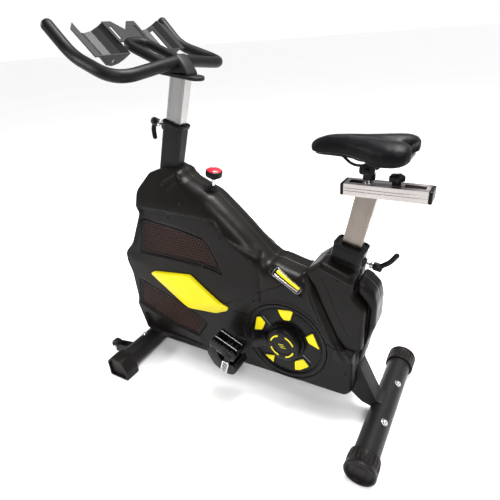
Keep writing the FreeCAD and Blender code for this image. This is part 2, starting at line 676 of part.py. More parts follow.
STEM_TILT, STEM_X, STEM_Z = 10.0, -148.0, 1046.0
LOOP_R = 14.0
RACK_TILT, RACK_X, RACK_Z = 45.0, -311.0, 1153.0
RACK_S, SHEET = (-62.0, 58.0), 3.0


def tilted(shape):
    """Turns a shape from the handlebar plate's own frame into place."""
    return leaning(shape, STEM_TILT, STEM_X, STEM_Z)


def handlebar_post():
    post = front_lean(extrusion(300.0, 170.0))
    above = tilted(block((-120, 120), (-60, 60), (-2, 200)))
    return post.cut(above)


def handlebar_stem():
    """Base plate with a rounded tongue, screwed on the post, and the upright that carries the bar."""
    plate = tilted(block((-60, 50), (-27, 27), (-2, 8)).fuse(Part.makeCylinder(27.0, 10.0, V(50, 0, -2))))
    side_view = [(-200, 1056), (-168, 1092), (-150, 1103), (-136, 1103), (-118, 1088), (-104, 1050)]
    upright = slab(side_view, -24, 24)
    plug = front_lean(block((-24, 24), (-12, 12), (90, 170)))
    plug = plug.cut(tilted(block((-120, 120), (-60, 60), (-2, 200))))
    upright = upright.cut(tilted(block((-120, 120), (-60, 60), (-60, -2))))
    stem = plate.fuse(upright).fuse(plug)
    return stem.cut(bar_path())


def bar_path():
    """Outer bar: two forward-pointing horns joined by the crossbar."""
    right = [V(-380, 222, 1196), V(-312, 220, 1120), V(-153.5, 241, 1061), V(-143, 0, 1086)]
    points = right + [V(p.x, -p.y, p.z) for p in right[2::-1]]
    return bent_tube(points, [150.0, 64.0, 400.0, 64.0, 150.0], BAR_R)


def loop_path(radius):
    """Narrow inner loop that rises forward from the crossbar."""
    points = [V(-158, 40, 1077), V(-305, 40, 1141), V(-305, -40, 1141), V(-158, -40, 1077)]
    return bent_tube(points, [38.0, 38.0], radius)


def handlebar():
    """Outer bar and the narrow inner loop welded to its middle."""
    return bar_path().fuse(loop_path(LOOP_R))


def bottle_rack():
    """Sheet rack welded to the loop: a notched middle between two curved troughs with closed lower lips."""
    top, bottom = RACK_S
    middle = block((top, 14), (-64, 64), (0, SHEET))
    notch = Part.makePolygon([V(top - 1, 32, -1), V(top - 1, -32, -1), V(-30, 0, -1), V(top - 1, 32, -1)])
    rack = middle.cut(Part.Face(notch).extrude(V(0, 0, SHEET + 2)))
    curve = [(60, 0), (72, -16), (90, -31), (113, -37), (136, -31), (154, -16), (166, 0), (186, 0)]
    for side in (-1, 1):
        under = [V(top, side * y, n) for y, n in curve]
        over = [V(top, side * y, n + SHEET) for y, n in reversed(curve)]
        sheet = Part.Face(Part.makePolygon(under + over + under[:1])).extrude(V(bottom - top, 0, 0))
        pocket = under[:7] + [V(top, side * 166, SHEET), V(top, side * 60, SHEET), under[0]]
        lip = Part.Face(Part.makePolygon(pocket)).extrude(V(SHEET, 0, 0))
        lip.translate(V(bottom - top - SHEET, 0, 0))
        lip = lip.cut(Part.makeCylinder(6.0, 20.0, V(bottom - 10, side * 113, -20), V(1, 0, 0)))
        rack = rack.fuse(sheet).fuse(lip)
        corner = [V(top - 1, side * 164, -50), V(top - 1, side * 190, -50), V(top + 25, side * 190, -50)]
        rack = rack.cut(Part.Face(Part.makePolygon(corner + corner[:1])).extrude(V(0, 0, 60)))
        for slot_y, slot_x in ((48, (-44, 4)), (142, (-46, 30))):
            rack = rack.cut(block(slot_x, sorted((side * (slot_y - 5), side * (slot_y + 5))), (-60, 10)))
    return leaning(rack, RACK_TILT, RACK_X, RACK_Z).cut(loop_path(LOOP_R))


def clamp_lever(place, side, sleeve_half, lever_w, handle):
    """Threaded stud and its bent handle; side gives the way the stud points along X."""
    tip = POST_LONG / 2 + 0.3
    stud = Part.makeCylinder(4.0, sleeve_half + 40 - tip, V(side * tip, 0, lever_w), V(side, 0, 0))
    hub = Part.makeCylinder(10.0, 20.0, V(side * (sleeve_half + 36), 0, lever_w), V(side, 0, 0))
    neck = Part.makeCylinder(7.0, 12.0, V(side * (sleeve_half + 25), 0, lever_w), V(side, 0, 0))
    start = place(Part.Vertex(side * (sleeve_half + 48), 0, lever_w)).Point
    return place(stud.fuse(hub).fuse(neck)).fuse(rod(start, handle, 6.5)).fuse(Part.makeSphere(8.0, handle))


# ---------------------------------------------------------------- seat

def seat_post():
    post = seat_lean(extrusion(420.0, 220.0))
    return post.cut(block((200, 600), (-60, 60), (SLIDER_Z[0], 900)))


def seat_slider():
    """Hollow beam with a long slot in its top, welded to the seat post."""
    low, high = SLIDER_Z
    beam = block((348, 551), (-27, 27), (low, high))
    beam = beam.cut(block((340, 560), (-24.5, 24.5), (low + 2.5, high - 2.5)))
    return beam.cut(block((356, 542), (-12, 12), (high - 5, high + 5)))


def slider_caps():
    low, high = SLIDER_Z
    caps = []
    for x, plug in (((339, 348), (348, 356)), ((551, 560), (543, 551))):
        plug_shape = block(plug, (-24.4, 24.4), (low + 2.6, high - 2.6))
        caps.append(block(x, (-27.5, 27.5), (low - 0.5, high + 0.5)).fuse(plug_shape))
    return caps


def saddle_carriage():
    """Block that slides inside the beam, with the round saddle stem on top."""
    low, high = SLIDER_Z
    carriage = block((CLAMP_X - 15, CLAMP_X + 82), (-24.4, 24.4), (low + 2.6, high - 2.6))
    stem = Part.makeCylinder(11.0, 27.0, V(CLAMP_X, 0, high - 5))
    thread = Part.makeCylinder(KNOB_SHANK_R + GAP, 40.0, V(KNOB_X, 0, low))
    return carriage.fuse(stem).cut(thread)


def slider_knob():
    """Five-lobed clamping knob with its threaded shank."""
    top = SLIDER_Z[1]
    grip_z, grip_height, lobe_circle_r, lobe_r = top + 10, 17.0, 13.5, 6.5
    knob = Part.makeCylinder(15.0, grip_height, V(KNOB_X, 0, grip_z))
    for lobe in range(5):
        angle = math.radians(72 * lobe)
        centre = V(KNOB_X + lobe_circle_r * math.cos(angle), lobe_circle_r * math.sin(angle), grip_z)
        knob = knob.fuse(Part.makeCylinder(lobe_r, grip_height, centre))
    knob = knob.fuse(Part.makeCylinder(10.0, 10.0, V(KNOB_X, 0, top + 0.3)))
    return knob.fuse(Part.makeCylinder(KNOB_SHANK_R, 20.0, V(KNOB_X, 0, top - 18)))


TILT_Z = 822.0


def saddle_clamp():
    """Two cheeks on the stem that grip the rails' cross pin."""
    body = block((CLAMP_X - 14, CLAMP_X + 14), (-14, 14), (800, 812))
    body = body.fuse(Part.makeCylinder(15.0, 18.0, V(CLAMP_X, 0, 794)))
    body = body.cut(Part.makeCylinder(11.0, 18.0, V(CLAMP_X, 0, 790)))
    pin = disc(CLAMP_X, TILT_Z, -27, 27, 5.0)
    ears = disc(CLAMP_X, TILT_Z, -12, 12, 10.0)
    return body.fuse(block((CLAMP_X - 9, CLAMP_X + 9), (-12, 12), (808, TILT_Z))).fuse(ears).fuse(pin)


def saddle_rail(side):
    """One bent rail, with both of its ends inside the saddle base."""
    y_rail = side * 22.0
    points = [V(337, side * 10, 857), V(368, y_rail, 834), V(440, y_rail, 834), V(470, side * 32, 858)]
    return bent_tube(points, [20.0, 20.0], 3.5)


def saddle_rails():
    """Two bent steel rails and the side plates that turn on the clamp's pin."""
    solids = []
    for side in (-1, 1):
        rail = saddle_rail(side)
        low, high = sorted((side * 18.0, side * 26.0))
        plate = block((CLAMP_X - 17, CLAMP_X + 17), (low, high), (TILT_Z - 9, 838))
        solids.append(rail.fuse(plate).cut(disc(CLAMP_X, TILT_Z, -40, 40, 5.0 + GAP)))
    return solids


SADDLE_PLAN = [
    (250, 15), (268, 24), (310, 29), (350, 36), (390, 54), (425, 76), (462, 88), (492, 82), (511, 56),
]
SADDLE_SIDE = [
    (250, 869), (258, 857), (398, 857), (414, 843), (440, 838), (511, 867), (511, 888), (504, 901), (471, 898),
    (420, 897), (352, 901), (279, 895), (254, 880),
]
BASE_Z, CUSHION_Z = (852.0, 861.0), 861.3
SKIRT_THICK, SADDLE_HALF_LENGTH = 9.0, 130.0


def saddle_plan(grow, z):
    """Pear-shaped outline of the saddle at one height, as a closed wire."""
    left = [V(x + grow * (x - CLAMP_X) / SADDLE_HALF_LENGTH, -(half + grow), z) for x, half in SADDLE_PLAN]
    right = [V(p.x, -p.y, p.z) for p in reversed(left)]
    return Part.makePolygon(left + right + left[:1])


def saddle_base():
    """Plastic shell under the cushion; rail sockets are cut from its underside."""
    shell = Part.Face(saddle_plan(-SKIRT_THICK - 3, BASE_Z[0])).extrude(V(0, 0, BASE_Z[1] - BASE_Z[0]))
    for side in (-1, 1):
        shell = shell.cut(saddle_rail(side))
    tilt_room = Part.makeCylinder(60.0, 6.0, V(CLAMP_X, 0, 846))
    return shell.cut(tilt_room.common(block((355, 455), (-40, 40), (840, 860))))


def saddle_cushion():
    """Padded top with a skirt that hangs round the base shell, lowest under the two wings."""
    rim_z, top_z, edge_round = 881.0, 902.0, 9.0
    body = Part.Face(saddle_plan(0, 830)).extrude(V(0, 0, rim_z - 830))
    body = body.fuse(Part.makeLoft([saddle_plan(0, rim_z), saddle_plan(-edge_round, top_z)], True, True))
    pocket = Part.Face(saddle_plan(-SKIRT_THICK, 830)).extrude(V(0, 0, CUSHION_Z - 830))
    return body.common(slab(SADDLE_SIDE, -100, 100)).cut(pocket)


def build():
    save("head_tube", head_tube())
    save("seat_tube", seat_tube())
    save("main_tube", *main_tube())
    save("fork_legs", *fork_legs())
    save("base_rails", *base_rails())
    save("rear_leg", rear_leg())
    save("front_stabiliser", stabiliser(FRONT_X, 240.0))
    save("rear_stabiliser", stabiliser(REAR_X, 240.0))
    save("stabiliser_bolts", *stabiliser_bolts())
    save("foot_caps", *front_foot_caps(), *rear_foot_caps())
    save("wheel_brackets", *wheel_brackets())
    save("transport_wheel_left", transport_wheel(-1))
    save("transport_wheel_right", transport_wheel(1))
    save("bottom_bracket_shell", bottom_bracket_shell())
    save("axle_bearings", *axle_bearings())
    left = shroud_left()
    save("shroud_left", left)
    save("shroud_right", mirrored(left))
    save("tower_cover", *tower_cover())
    save("rear_cover", rear_cover())
    save("vent_panels", *vent_panels())
    save("side_badges", *side_badges())
    save("reflectors", *reflectors())
    save("ring_covers", *ring_covers())
    save("ring_inserts", *ring_inserts())
    save("shroud_screws", *shroud_screws())
    save("post_collar", front_lean(bush(FRONT_SLEEVE, ((-38, 38), 26, 12), FRONT_LEVER_W, -1)))
    save("seat_collar", seat_lean(bush(SEAT_SLEEVE, ((-50, 42), 31, 24), SEAT_LEVER_W, 1)))
    save("knob_grommet", knob_grommet())
    save("drive_belt", drive_belt())
    save("flywheel", flywheel())
    save("flywheel_axle", disc(WHEEL_AXIS_X, WHEEL_AXIS_Z, -46, 66, SPINDLE_R))
    save("small_pulley", pulley(WHEEL_AXIS_X, WHEEL_AXIS_Z, SMALL_PULLEY_R, 38.0))
    save("crank_spindle", disc(CRANK_X, CRANK_Z, -94, 94, SPINDLE_R))
    save("crank_pulley", crank_pulley())
    save("crank_arm_left", crank_arm(-1))
    save("crank_arm_right", crank_arm(1))
    save("hub_caps", *hub_caps())
    save("pedal_spindles", *pedal_spindles())
    save("pedal_left", pedal(-1))
    save("pedal_right", pedal(1))
    save("toe_cage_left", *toe_cage(-1))
    save("toe_cage_right", *toe_cage(1))
    save("brake_knob", brake_knob())
    save("brake_rod", brake_rod())
    save("brake_pad", *brake_pad())
    save("handlebar_post", handlebar_post())
    save("handlebar_stem", handlebar_stem())
    save("handlebar", handlebar())
    save("bottle_rack", bottle_rack())
    save("post_lever", clamp_lever(front_lean, -1, FRONT_SLEEVE[0] / 2, FRONT_LEVER_W, V(-288, 0, 866)))
    save("seat_post", seat_post())
    save("seat_slider", seat_slider())
    save("slider_caps", *slider_caps())
    save("seat_lever", clamp_lever(seat_lean, 1, SEAT_SLEEVE[0] / 2, SEAT_LEVER_W, V(490, 0, 595)))
    save("saddle_carriage", saddle_carriage())
    save("slider_knob", slider_knob())
    save("saddle_clamp", saddle_clamp())
    save("saddle_rails", *saddle_rails())
    save("saddle_base", saddle_base())
    save("saddle_cushion", saddle_cushion())


build()
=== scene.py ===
"""Indoor spin bike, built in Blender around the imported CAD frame.

Lengths are in millimetres until a mesh is made.

+X points to the rear of the bike, -X to the front, +Z up and -Y to the rider's left.
"""
import json
import math

import bmesh
import bpy
import numpy as np
from mathutils import Matrix, Vector
from mathutils.bvhtree import BVHTree


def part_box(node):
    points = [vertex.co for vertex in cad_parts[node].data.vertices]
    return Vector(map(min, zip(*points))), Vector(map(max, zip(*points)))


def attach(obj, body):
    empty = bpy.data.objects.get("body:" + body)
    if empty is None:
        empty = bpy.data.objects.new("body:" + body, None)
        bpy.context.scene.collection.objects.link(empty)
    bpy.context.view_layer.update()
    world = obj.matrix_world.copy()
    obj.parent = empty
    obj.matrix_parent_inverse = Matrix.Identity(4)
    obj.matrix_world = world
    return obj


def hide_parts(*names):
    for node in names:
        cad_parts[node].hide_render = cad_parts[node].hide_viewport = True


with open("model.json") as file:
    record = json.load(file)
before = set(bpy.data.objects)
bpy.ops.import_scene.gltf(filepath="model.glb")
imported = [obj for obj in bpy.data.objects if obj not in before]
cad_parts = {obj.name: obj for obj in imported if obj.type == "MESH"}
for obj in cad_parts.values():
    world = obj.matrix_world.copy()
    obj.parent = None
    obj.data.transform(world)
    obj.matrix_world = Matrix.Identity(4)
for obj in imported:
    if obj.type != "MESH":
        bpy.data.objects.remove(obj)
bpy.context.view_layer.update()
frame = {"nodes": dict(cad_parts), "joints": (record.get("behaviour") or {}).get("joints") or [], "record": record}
MM = 0.001
JOINTS = {joint["name"]: joint for joint in frame["joints"]}
SIDES = ((-1, "left"), (1, "right"))


# ---------------------------------------------------------------- places that the frame gives

def node_box(node):
    """Lowest and highest corner of a CAD node in millimetres."""
    low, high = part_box(node)
    return np.array(low) / MM, np.array(high) / MM


def joint_point(name):
    """Point that a joint turns about, in millimetres."""
    return np.array(JOINTS[name]["pos_m"]) / MM


def joint_axis(name):
    """Unit vector along a joint's axis."""
    axis = np.array(JOINTS[name]["axis"], float)
    return axis / np.linalg.norm(axis)


# ---------------------------------------------------------------- numpy shapes

def smooth(t):
    """Cubic step: 0 below 0, 1 above 1, and 3t^2 - 2t^3 between."""
    t = np.clip(t, 0.0, 1.0)
    return t * t * (3 - 2 * t)


def soft_least(a, b, width):
    """Smaller of two fields, with the corner between them rounded over the width."""
    blend = np.clip(0.5 + 0.5 * (b - a) / width, 0, 1)
    return b + (a - b) * blend - width * blend * (1 - blend)


def line_distance(x, z, line):
    """Distance from each point of a field to an open run of straight lines."""
    points = np.asarray(line, float)
    start, run = points[:-1], points[1:] - points[:-1]
    dx, dz = x[..., None] - start[:, 0], z[..., None] - start[:, 1]
    along = np.clip((dx * run[:, 0] + dz * run[:, 1]) / (run ** 2).sum(1), 0, 1)
    return np.sqrt((dx - along * run[:, 0]) ** 2 + (dz - along * run[:, 1]) ** 2).min(-1)


def outline_depth(x, z, outline):
    """Distance of each point inwards from a closed outline; outside it is negative."""
    points = np.asarray(outline, float)
    ends = np.roll(points, -1, axis=0)
    distance = line_distance(x, z, np.vstack([points, points[:1]]))
    rises = (points[:, 1] > z[..., None]) != (ends[:, 1] > z[..., None])
    height = np.where(ends[:, 1] == points[:, 1], 1.0, ends[:, 1] - points[:, 1])
    cross = (ends[:, 0] - points[:, 0]) * (z[..., None] - points[:, 1]) / height + points[:, 0]
    inside = (rises & (x[..., None] < cross)).sum(-1) % 2 == 1
    return np.where(inside, distance, -distance)


def rounded(corners, reach, count=6, closed=True):
    """Outline or 3-D line with each corner replaced by a quadratic curve between two points set back along its sides.

    The set-back is the reach, or 0.45 of the shorter side where that is less.
    """
    points = np.asarray(corners, float)
    before, after = np.roll(points, 1, axis=0), np.roll(points, -1, axis=0)
    back, ahead = before - points, after - points
    length_back = np.linalg.norm(back, axis=1, keepdims=True)
    length_ahead = np.linalg.norm(ahead, axis=1, keepdims=True)
    wanted = np.broadcast_to(np.asarray(reach, float).reshape(-1, 1), (len(points), 1))
    cut = np.minimum(wanted, 0.45 * np.minimum(length_back, length_ahead))
    first, last = points + back / length_back * cut, points + ahead / length_ahead * cut
    t = np.linspace(0, 1, count)[None, :, None]
    curve = (1 - t) ** 2 * first[:, None] + 2 * t * (1 - t) * points[:, None] + t ** 2 * last[:, None]
    if closed:
        return curve.reshape(-1, points.shape[1])
    middle = curve[1:-1].reshape(-1, points.shape[1])
    return np.vstack([points[:1], middle, points[-1:]])


def spread(line, count, closed=True):
    """The same outline or line, with points evenly spaced along its length."""
    points = np.asarray(line, float)
    if closed:
        points = np.vstack([points, points[:1]])
    steps = np.r_[0, np.cumsum(np.linalg.norm(np.diff(points, axis=0), axis=1))]
    places = np.linspace(0, steps[-1], count, endpoint=not closed)
    return np.stack([np.interp(places, steps, points[:, k]) for k in range(points.shape[1])], axis=1)


def inward(outline):
    """Unit normals of a closed outline, pointing inwards: the chord between neighbours turned a quarter turn."""
    ahead, back = np.roll(outline, -1, axis=0), np.roll(outline, 1, axis=0)
    chord = ahead - back
    turned = np.stack([-chord[:, 1], chord[:, 0]], axis=1)
    area = (outline[:, 0] * ahead[:, 1] - ahead[:, 0] * outline[:, 1]).sum()
    return turned / np.linalg.norm(turned, axis=1, keepdims=True) * np.sign(area)


def rounded_box(half_a, half_b, radius, count=7):
    """Rectangle profile with rounded corners, centred on the origin."""
    corners = [(-half_a, -half_b), (half_a, -half_b), (half_a, half_b), (-half_a, half_b)]
    return rounded(corners, radius * 1.25, count)


def grid_quads(rows, columns, wrap_rows=False, wrap_columns=False):
    """Corner numbers of every quad on a grid whose last row or column may join the first."""
    r = np.arange(rows if wrap_rows else rows - 1)
    c = np.arange(columns if wrap_columns else columns - 1)
    a, b = np.meshgrid(r, c, indexing="ij")
    next_a, next_b = (a + 1) % rows, (b + 1) % columns
    corners = [a * columns + b, a * columns + next_b, next_a * columns + next_b, next_a * columns + b]
    return np.stack(corners, axis=-1).reshape(-1, 4)


def make_mesh(name, points, faces, sharp=35.0):
    """Mesh object from points in millimetres.

    Doubles are merged, faces turned outwards, and edges sharper than the angle kept crisp.
    """
    mesh = bpy.data.meshes.new(name)
    mesh.from_pydata((np.asarray(points, float).reshape(-1, 3) * MM).tolist(), [], faces)
    work = bmesh.new()
    work.from_mesh(mesh)
    bmesh.ops.remove_doubles(work, verts=work.verts, dist=2e-6)
    bmesh.ops.dissolve_degenerate(work, edges=work.edges, dist=2e-6)
    bmesh.ops.recalc_face_normals(work, faces=work.faces)
    work.to_mesh(mesh)
    work.free()
    mesh.shade_smooth()
    mesh.set_sharp_from_angle(angle=math.radians(sharp))
    piece = bpy.data.objects.new(name, mesh)
    bpy.context.scene.collection.objects.link(piece)
    return piece


def skin(name, rings, ring_closed=True, loop=False, ends=True, sharp=35.0):
    """Surface through rings of equal length, one after the other; a loop joins the last ring to the first."""
    rings = np.asarray(rings, float)
    rows, columns = rings.shape[:2]
    faces = grid_quads(rows, columns, loop, ring_closed).tolist()
    if ends and not loop:
        faces += [list(range(columns)), list(range((rows - 1) * columns, rows * columns))]
    return make_mesh(name, rings, faces, sharp)


def stacked(profile, origin, axes, levels):
    """Rings of one flat profile: at each level (height, inset) it moves up the third axis and shrinks by the inset."""
    profile = np.asarray(profile, float)
    normals = inward(profile)
    first, second, third = [np.asarray(axis, float) for axis in axes]
    rings = []
    for height, inset in levels:
        flat = profile + normals * inset
        rings.append(np.asarray(origin, float) + flat[:, :1] * first + flat[:, 1:] * second + height * third)
    return np.array(rings)


def soft_levels(low, high, radius, count=5):
    """Levels of a prism from low to high, with both rims rounded to a quarter circle of the radius."""
    angle = np.linspace(0, np.pi / 2, count)
    start = [(low + radius * (1 - math.sin(a)), radius * (1 - math.cos(a))) for a in angle[::-1]]
    end = [(high - radius * (1 - math.sin(a)), radius * (1 - math.cos(a))) for a in angle]
    return start + end


def prism(name, profile, origin, axes, low, high, radius=1.0, sharp=35.0):
    """Solid of one profile between two heights, with rounded rims."""
    return skin(name, stacked(profile, origin, axes, soft_levels(low, high, radius)), sharp=sharp)


def pipe(name, outer, inner, origin, axes, low, high, radius=0.8):
    """Hollow prism: the outer profile up, over the rim, down the inner profile and round again."""
    outer, inner = spread(outer, 96), spread(inner, 96)
    shift = np.argmin(np.linalg.norm(inner - outer[0] * 0.9, axis=1))
    outer_rings = stacked(outer, origin, axes, soft_levels(low, high, radius, 4))
    inner_rings = stacked(np.roll(inner, -shift, axis=0), origin, axes, [(high, 0), (low, 0)])
    return skin(name, np.concatenate([outer_rings, inner_rings]), loop=True)


def cross_axes(axis):
    """Two unit vectors square to an axis and to each other."""
    axis = np.asarray(axis, float) / np.linalg.norm(axis)
    helper = np.array([0.0, 1.0, 0.0]) if abs(axis[1]) < 0.9 else np.array([1.0, 0.0, 0.0])
    first = np.cross(helper, axis)
    first /= np.linalg.norm(first)
    return first, np.cross(axis, first)


def turned(name, profile, origin, axis, count=48, lobes=0, lobe_depth=0.0, sharp=35.0):
    """Profile of (radius, height) turned about an axis; lobes wave the radius by the depth as a share of it."""
    profile = np.asarray(profile, float)
    axis = np.asarray(axis, float) / np.linalg.norm(axis)
    first, second = cross_axes(axis)
    angle = np.linspace(0, 2 * np.pi, count, endpoint=False)
    wave = 1 + lobe_depth * np.cos(lobes * angle) if lobes else np.ones(count)
    radial = (first * np.cos(angle)[:, None] + second * np.sin(angle)[:, None]) * wave[:, None]
    rings = np.asarray(origin, float) + profile[:, :1, None] * radial[None] + profile[:, 1:, None] * axis
    return skin(name, rings, ends=False, sharp=sharp)


def tube(name, path, radius, count=24, dome=0.6):
    """Round bar along a path; the ends are domes whose height is the dome share of the radius."""
    path = np.asarray(path, float)
    tangent = np.gradient(path, axis=0)
    tangent /= np.linalg.norm(tangent, axis=1, keepdims=True)
    bend = np.linspace(0, np.pi / 2, 6)[1:]
    start = path[:1] - tangent[:1] * (np.sin(bend)[::-1] * radius * dome)[:, None]
    end = path[-1:] + tangent[-1:] * (np.sin(bend) * radius * dome)[:, None]
    line = np.vstack([start, path, end])
    radii = np.r_[np.cos(bend)[::-1], np.ones(len(path)), np.cos(bend)] * radius
    direction = np.vstack([np.repeat(tangent[:1], 5, 0), tangent, np.repeat(tangent[-1:], 5, 0)])
    helper = np.array([0.0, 0.0, 1.0]) if abs(tangent[:, 2]).max() < 0.97 else np.array([0.35, 0.9, 0.26])
    side = np.cross(direction, helper)
    side /= np.linalg.norm(side, axis=1, keepdims=True)
    up = np.cross(side, direction)
    angle = np.linspace(0, 2 * np.pi, count, endpoint=False)
    rings = line[:, None] + radii[:, None, None] * (
        np.cos(angle)[None, :, None] * side[:, None] + np.sin(angle)[None, :, None] * up[:, None])
    return skin(name, rings, ends=False, sharp=60)


def ribbon(name, line, profile, lift, closed=False, up=(0, -1, 0)):
    """Profile of (across, out) carried along a line in the XZ plane at a given Y; out is along the up direction."""
    line = np.asarray(line, float)
    if closed:
        tangent = np.roll(line, -1, axis=0) - np.roll(line, 1, axis=0)
    else:
        tangent = np.gradient(line, axis=0)
    tangent /= np.linalg.norm(tangent, axis=1, keepdims=True)
    side = np.stack([-tangent[:, 1], tangent[:, 0]], axis=1)
    profile = np.asarray(profile, float)
    flat = line[:, None] + side[:, None] * profile[None, :, :1]
    up = np.asarray(up, float)
    out = np.broadcast_to(profile[None, :, 1], flat.shape[:2])
    rings = np.stack([flat[..., 0], lift + up[1] * out, flat[..., 1]], axis=-1)
    return skin(name, rings, loop=closed, ends=not closed, sharp=50)


def place(piece, body, slot, material, *nodes):
    """Gives a piece its material, ties it to its body and hides the CAD nodes it stands for; the slot is not used."""
    if not piece.data.materials:
        piece.data.materials.append(material)
    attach(piece, body)
    if nodes:
        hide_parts(*nodes)
    return piece


# ---------------------------------------------------------------- materials

def start_material(name):
    """Empty node tree with its output, and its shader with the output linked."""
    material = bpy.data.materials.new(name)
    material.use_nodes = True
    tree = material.node_tree
    tree.nodes.clear()
    output = tree.nodes.new("ShaderNodeOutputMaterial")
    output.label, output.location = "Surface out", (900, 0)
    shader = tree.nodes.new("ShaderNodeBsdfPrincipled")
    shader.label, shader.location = "Finish", (600, 0)
    tree.links.new(shader.outputs["BSDF"], output.inputs["Surface"])
    return material, tree, shader


def group_nodes(tree, label, colour, *members):
    """Puts nodes that make one effect into a labelled frame."""
    box = tree.nodes.new("NodeFrame")
    box.label, box.use_custom_color, box.color = label, True, colour
    for member in members:
        member.parent = box


def moulded_material(name, colour, roughness, grain=900.0, depth=0.12, mottling=0.25, coat=0.0, edge=0.35):
    """Injection-moulded or rubbery surface: fine grain, faint cloudy tone, handling marks and paler worn edges."""
    material, tree, shader = start_material(name)
    place_node = tree.nodes.new("ShaderNodeTexCoord")
    place_node.label, place_node.location = "Place on the bike", (-1200, 0)

    clouds = tree.nodes.new("ShaderNodeTexNoise")
    clouds.label, clouds.location = "Cloudy tone", (-950, 300)
    clouds.inputs["Scale"].default_value = 7.0
    clouds.inputs["Detail"].default_value = 4.0
    tone = tree.nodes.new("ShaderNodeValToRGB")
    tone.label, tone.location = "Tone range", (-700, 300)
    tone.color_ramp.elements[0].position = 0.3
    tone.color_ramp.elements[1].position = 0.75
    tone.color_ramp.elements[0].color = (*[c * (1 - mottling) for c in colour], 1)
    tone.color_ramp.elements[1].color = (*[c * (1 + mottling) for c in colour], 1)
    shape = tree.nodes.new("ShaderNodeNewGeometry")
    shape.label, shape.location = "Edge finder", (-950, 620)
    rub = tree.nodes.new("ShaderNodeMapRange")
    rub.label, rub.location = "Rubbed edges", (-700, 620)
    rub.inputs["From Min"].default_value = 0.52
    rub.inputs["From Max"].default_value = 0.62
    rub.inputs["To Max"].default_value = edge
    worn = tree.nodes.new("ShaderNodeMix")
    worn.data_type = "RGBA"
    worn.label, worn.location = "Paler where rubbed", (-350, 400)
    worn.inputs["B"].default_value = (*[min(1.0, c * 2.5 + 0.012) for c in colour], 1)
    group_nodes(tree, "Colour and rubbed edges", (0.25, 0.3, 0.35), clouds, tone, shape, rub, worn)

    marks = tree.nodes.new("ShaderNodeTexNoise")
    marks.label, marks.location = "Handling marks", (-950, -50)
    marks.inputs["Scale"].default_value = 26.0
    marks.inputs["Detail"].default_value = 6.0
    gloss = tree.nodes.new("ShaderNodeMapRange")
    gloss.label, gloss.location = "Gloss variation", (-350, -50)
    gloss.inputs["From Min"].default_value = 0.3
    gloss.inputs["From Max"].default_value = 0.7
    gloss.inputs["To Min"].default_value = roughness - 0.05
    gloss.inputs["To Max"].default_value = roughness + 0.07
    group_nodes(tree, "Gloss", (0.3, 0.3, 0.2), marks, gloss)

    pebbles = tree.nodes.new("ShaderNodeTexVoronoi")
    pebbles.label, pebbles.location = "Moulded grain", (-950, -350)
    pebbles.inputs["Scale"].default_value = grain
    bump = tree.nodes.new("ShaderNodeBump")
    bump.label, bump.location = "Grain relief", (-350, -350)
    bump.inputs["Strength"].default_value = depth
    bump.inputs["Distance"].default_value = 0.0004
    group_nodes(tree, "Grain", (0.2, 0.3, 0.25), pebbles, bump)

    shader.inputs["Coat Weight"].default_value = coat
    shader.inputs["Coat Roughness"].default_value = 0.12
    shader.inputs["Specular IOR Level"].default_value = 0.09
    link = tree.links.new
    link(place_node.outputs["Object"], clouds.inputs["Vector"])
    link(place_node.outputs["Object"], marks.inputs["Vector"])
    link(place_node.outputs["Object"], pebbles.inputs["Vector"])
    link(clouds.outputs["Fac"], tone.inputs["Fac"])
    link(shape.outputs["Pointiness"], rub.inputs["Value"])
    link(rub.outputs["Result"], worn.inputs["Factor"])
    link(tone.outputs["Color"], worn.inputs["A"])
    link(worn.outputs["Result"], shader.inputs["Base Color"])
    link(marks.outputs["Fac"], gloss.inputs["Value"])
    link(gloss.outputs["Result"], shader.inputs["Roughness"])
    link(pebbles.outputs["Distance"], bump.inputs["Height"])
    link(bump.outputs["Normal"], shader.inputs["Normal"])
    return material


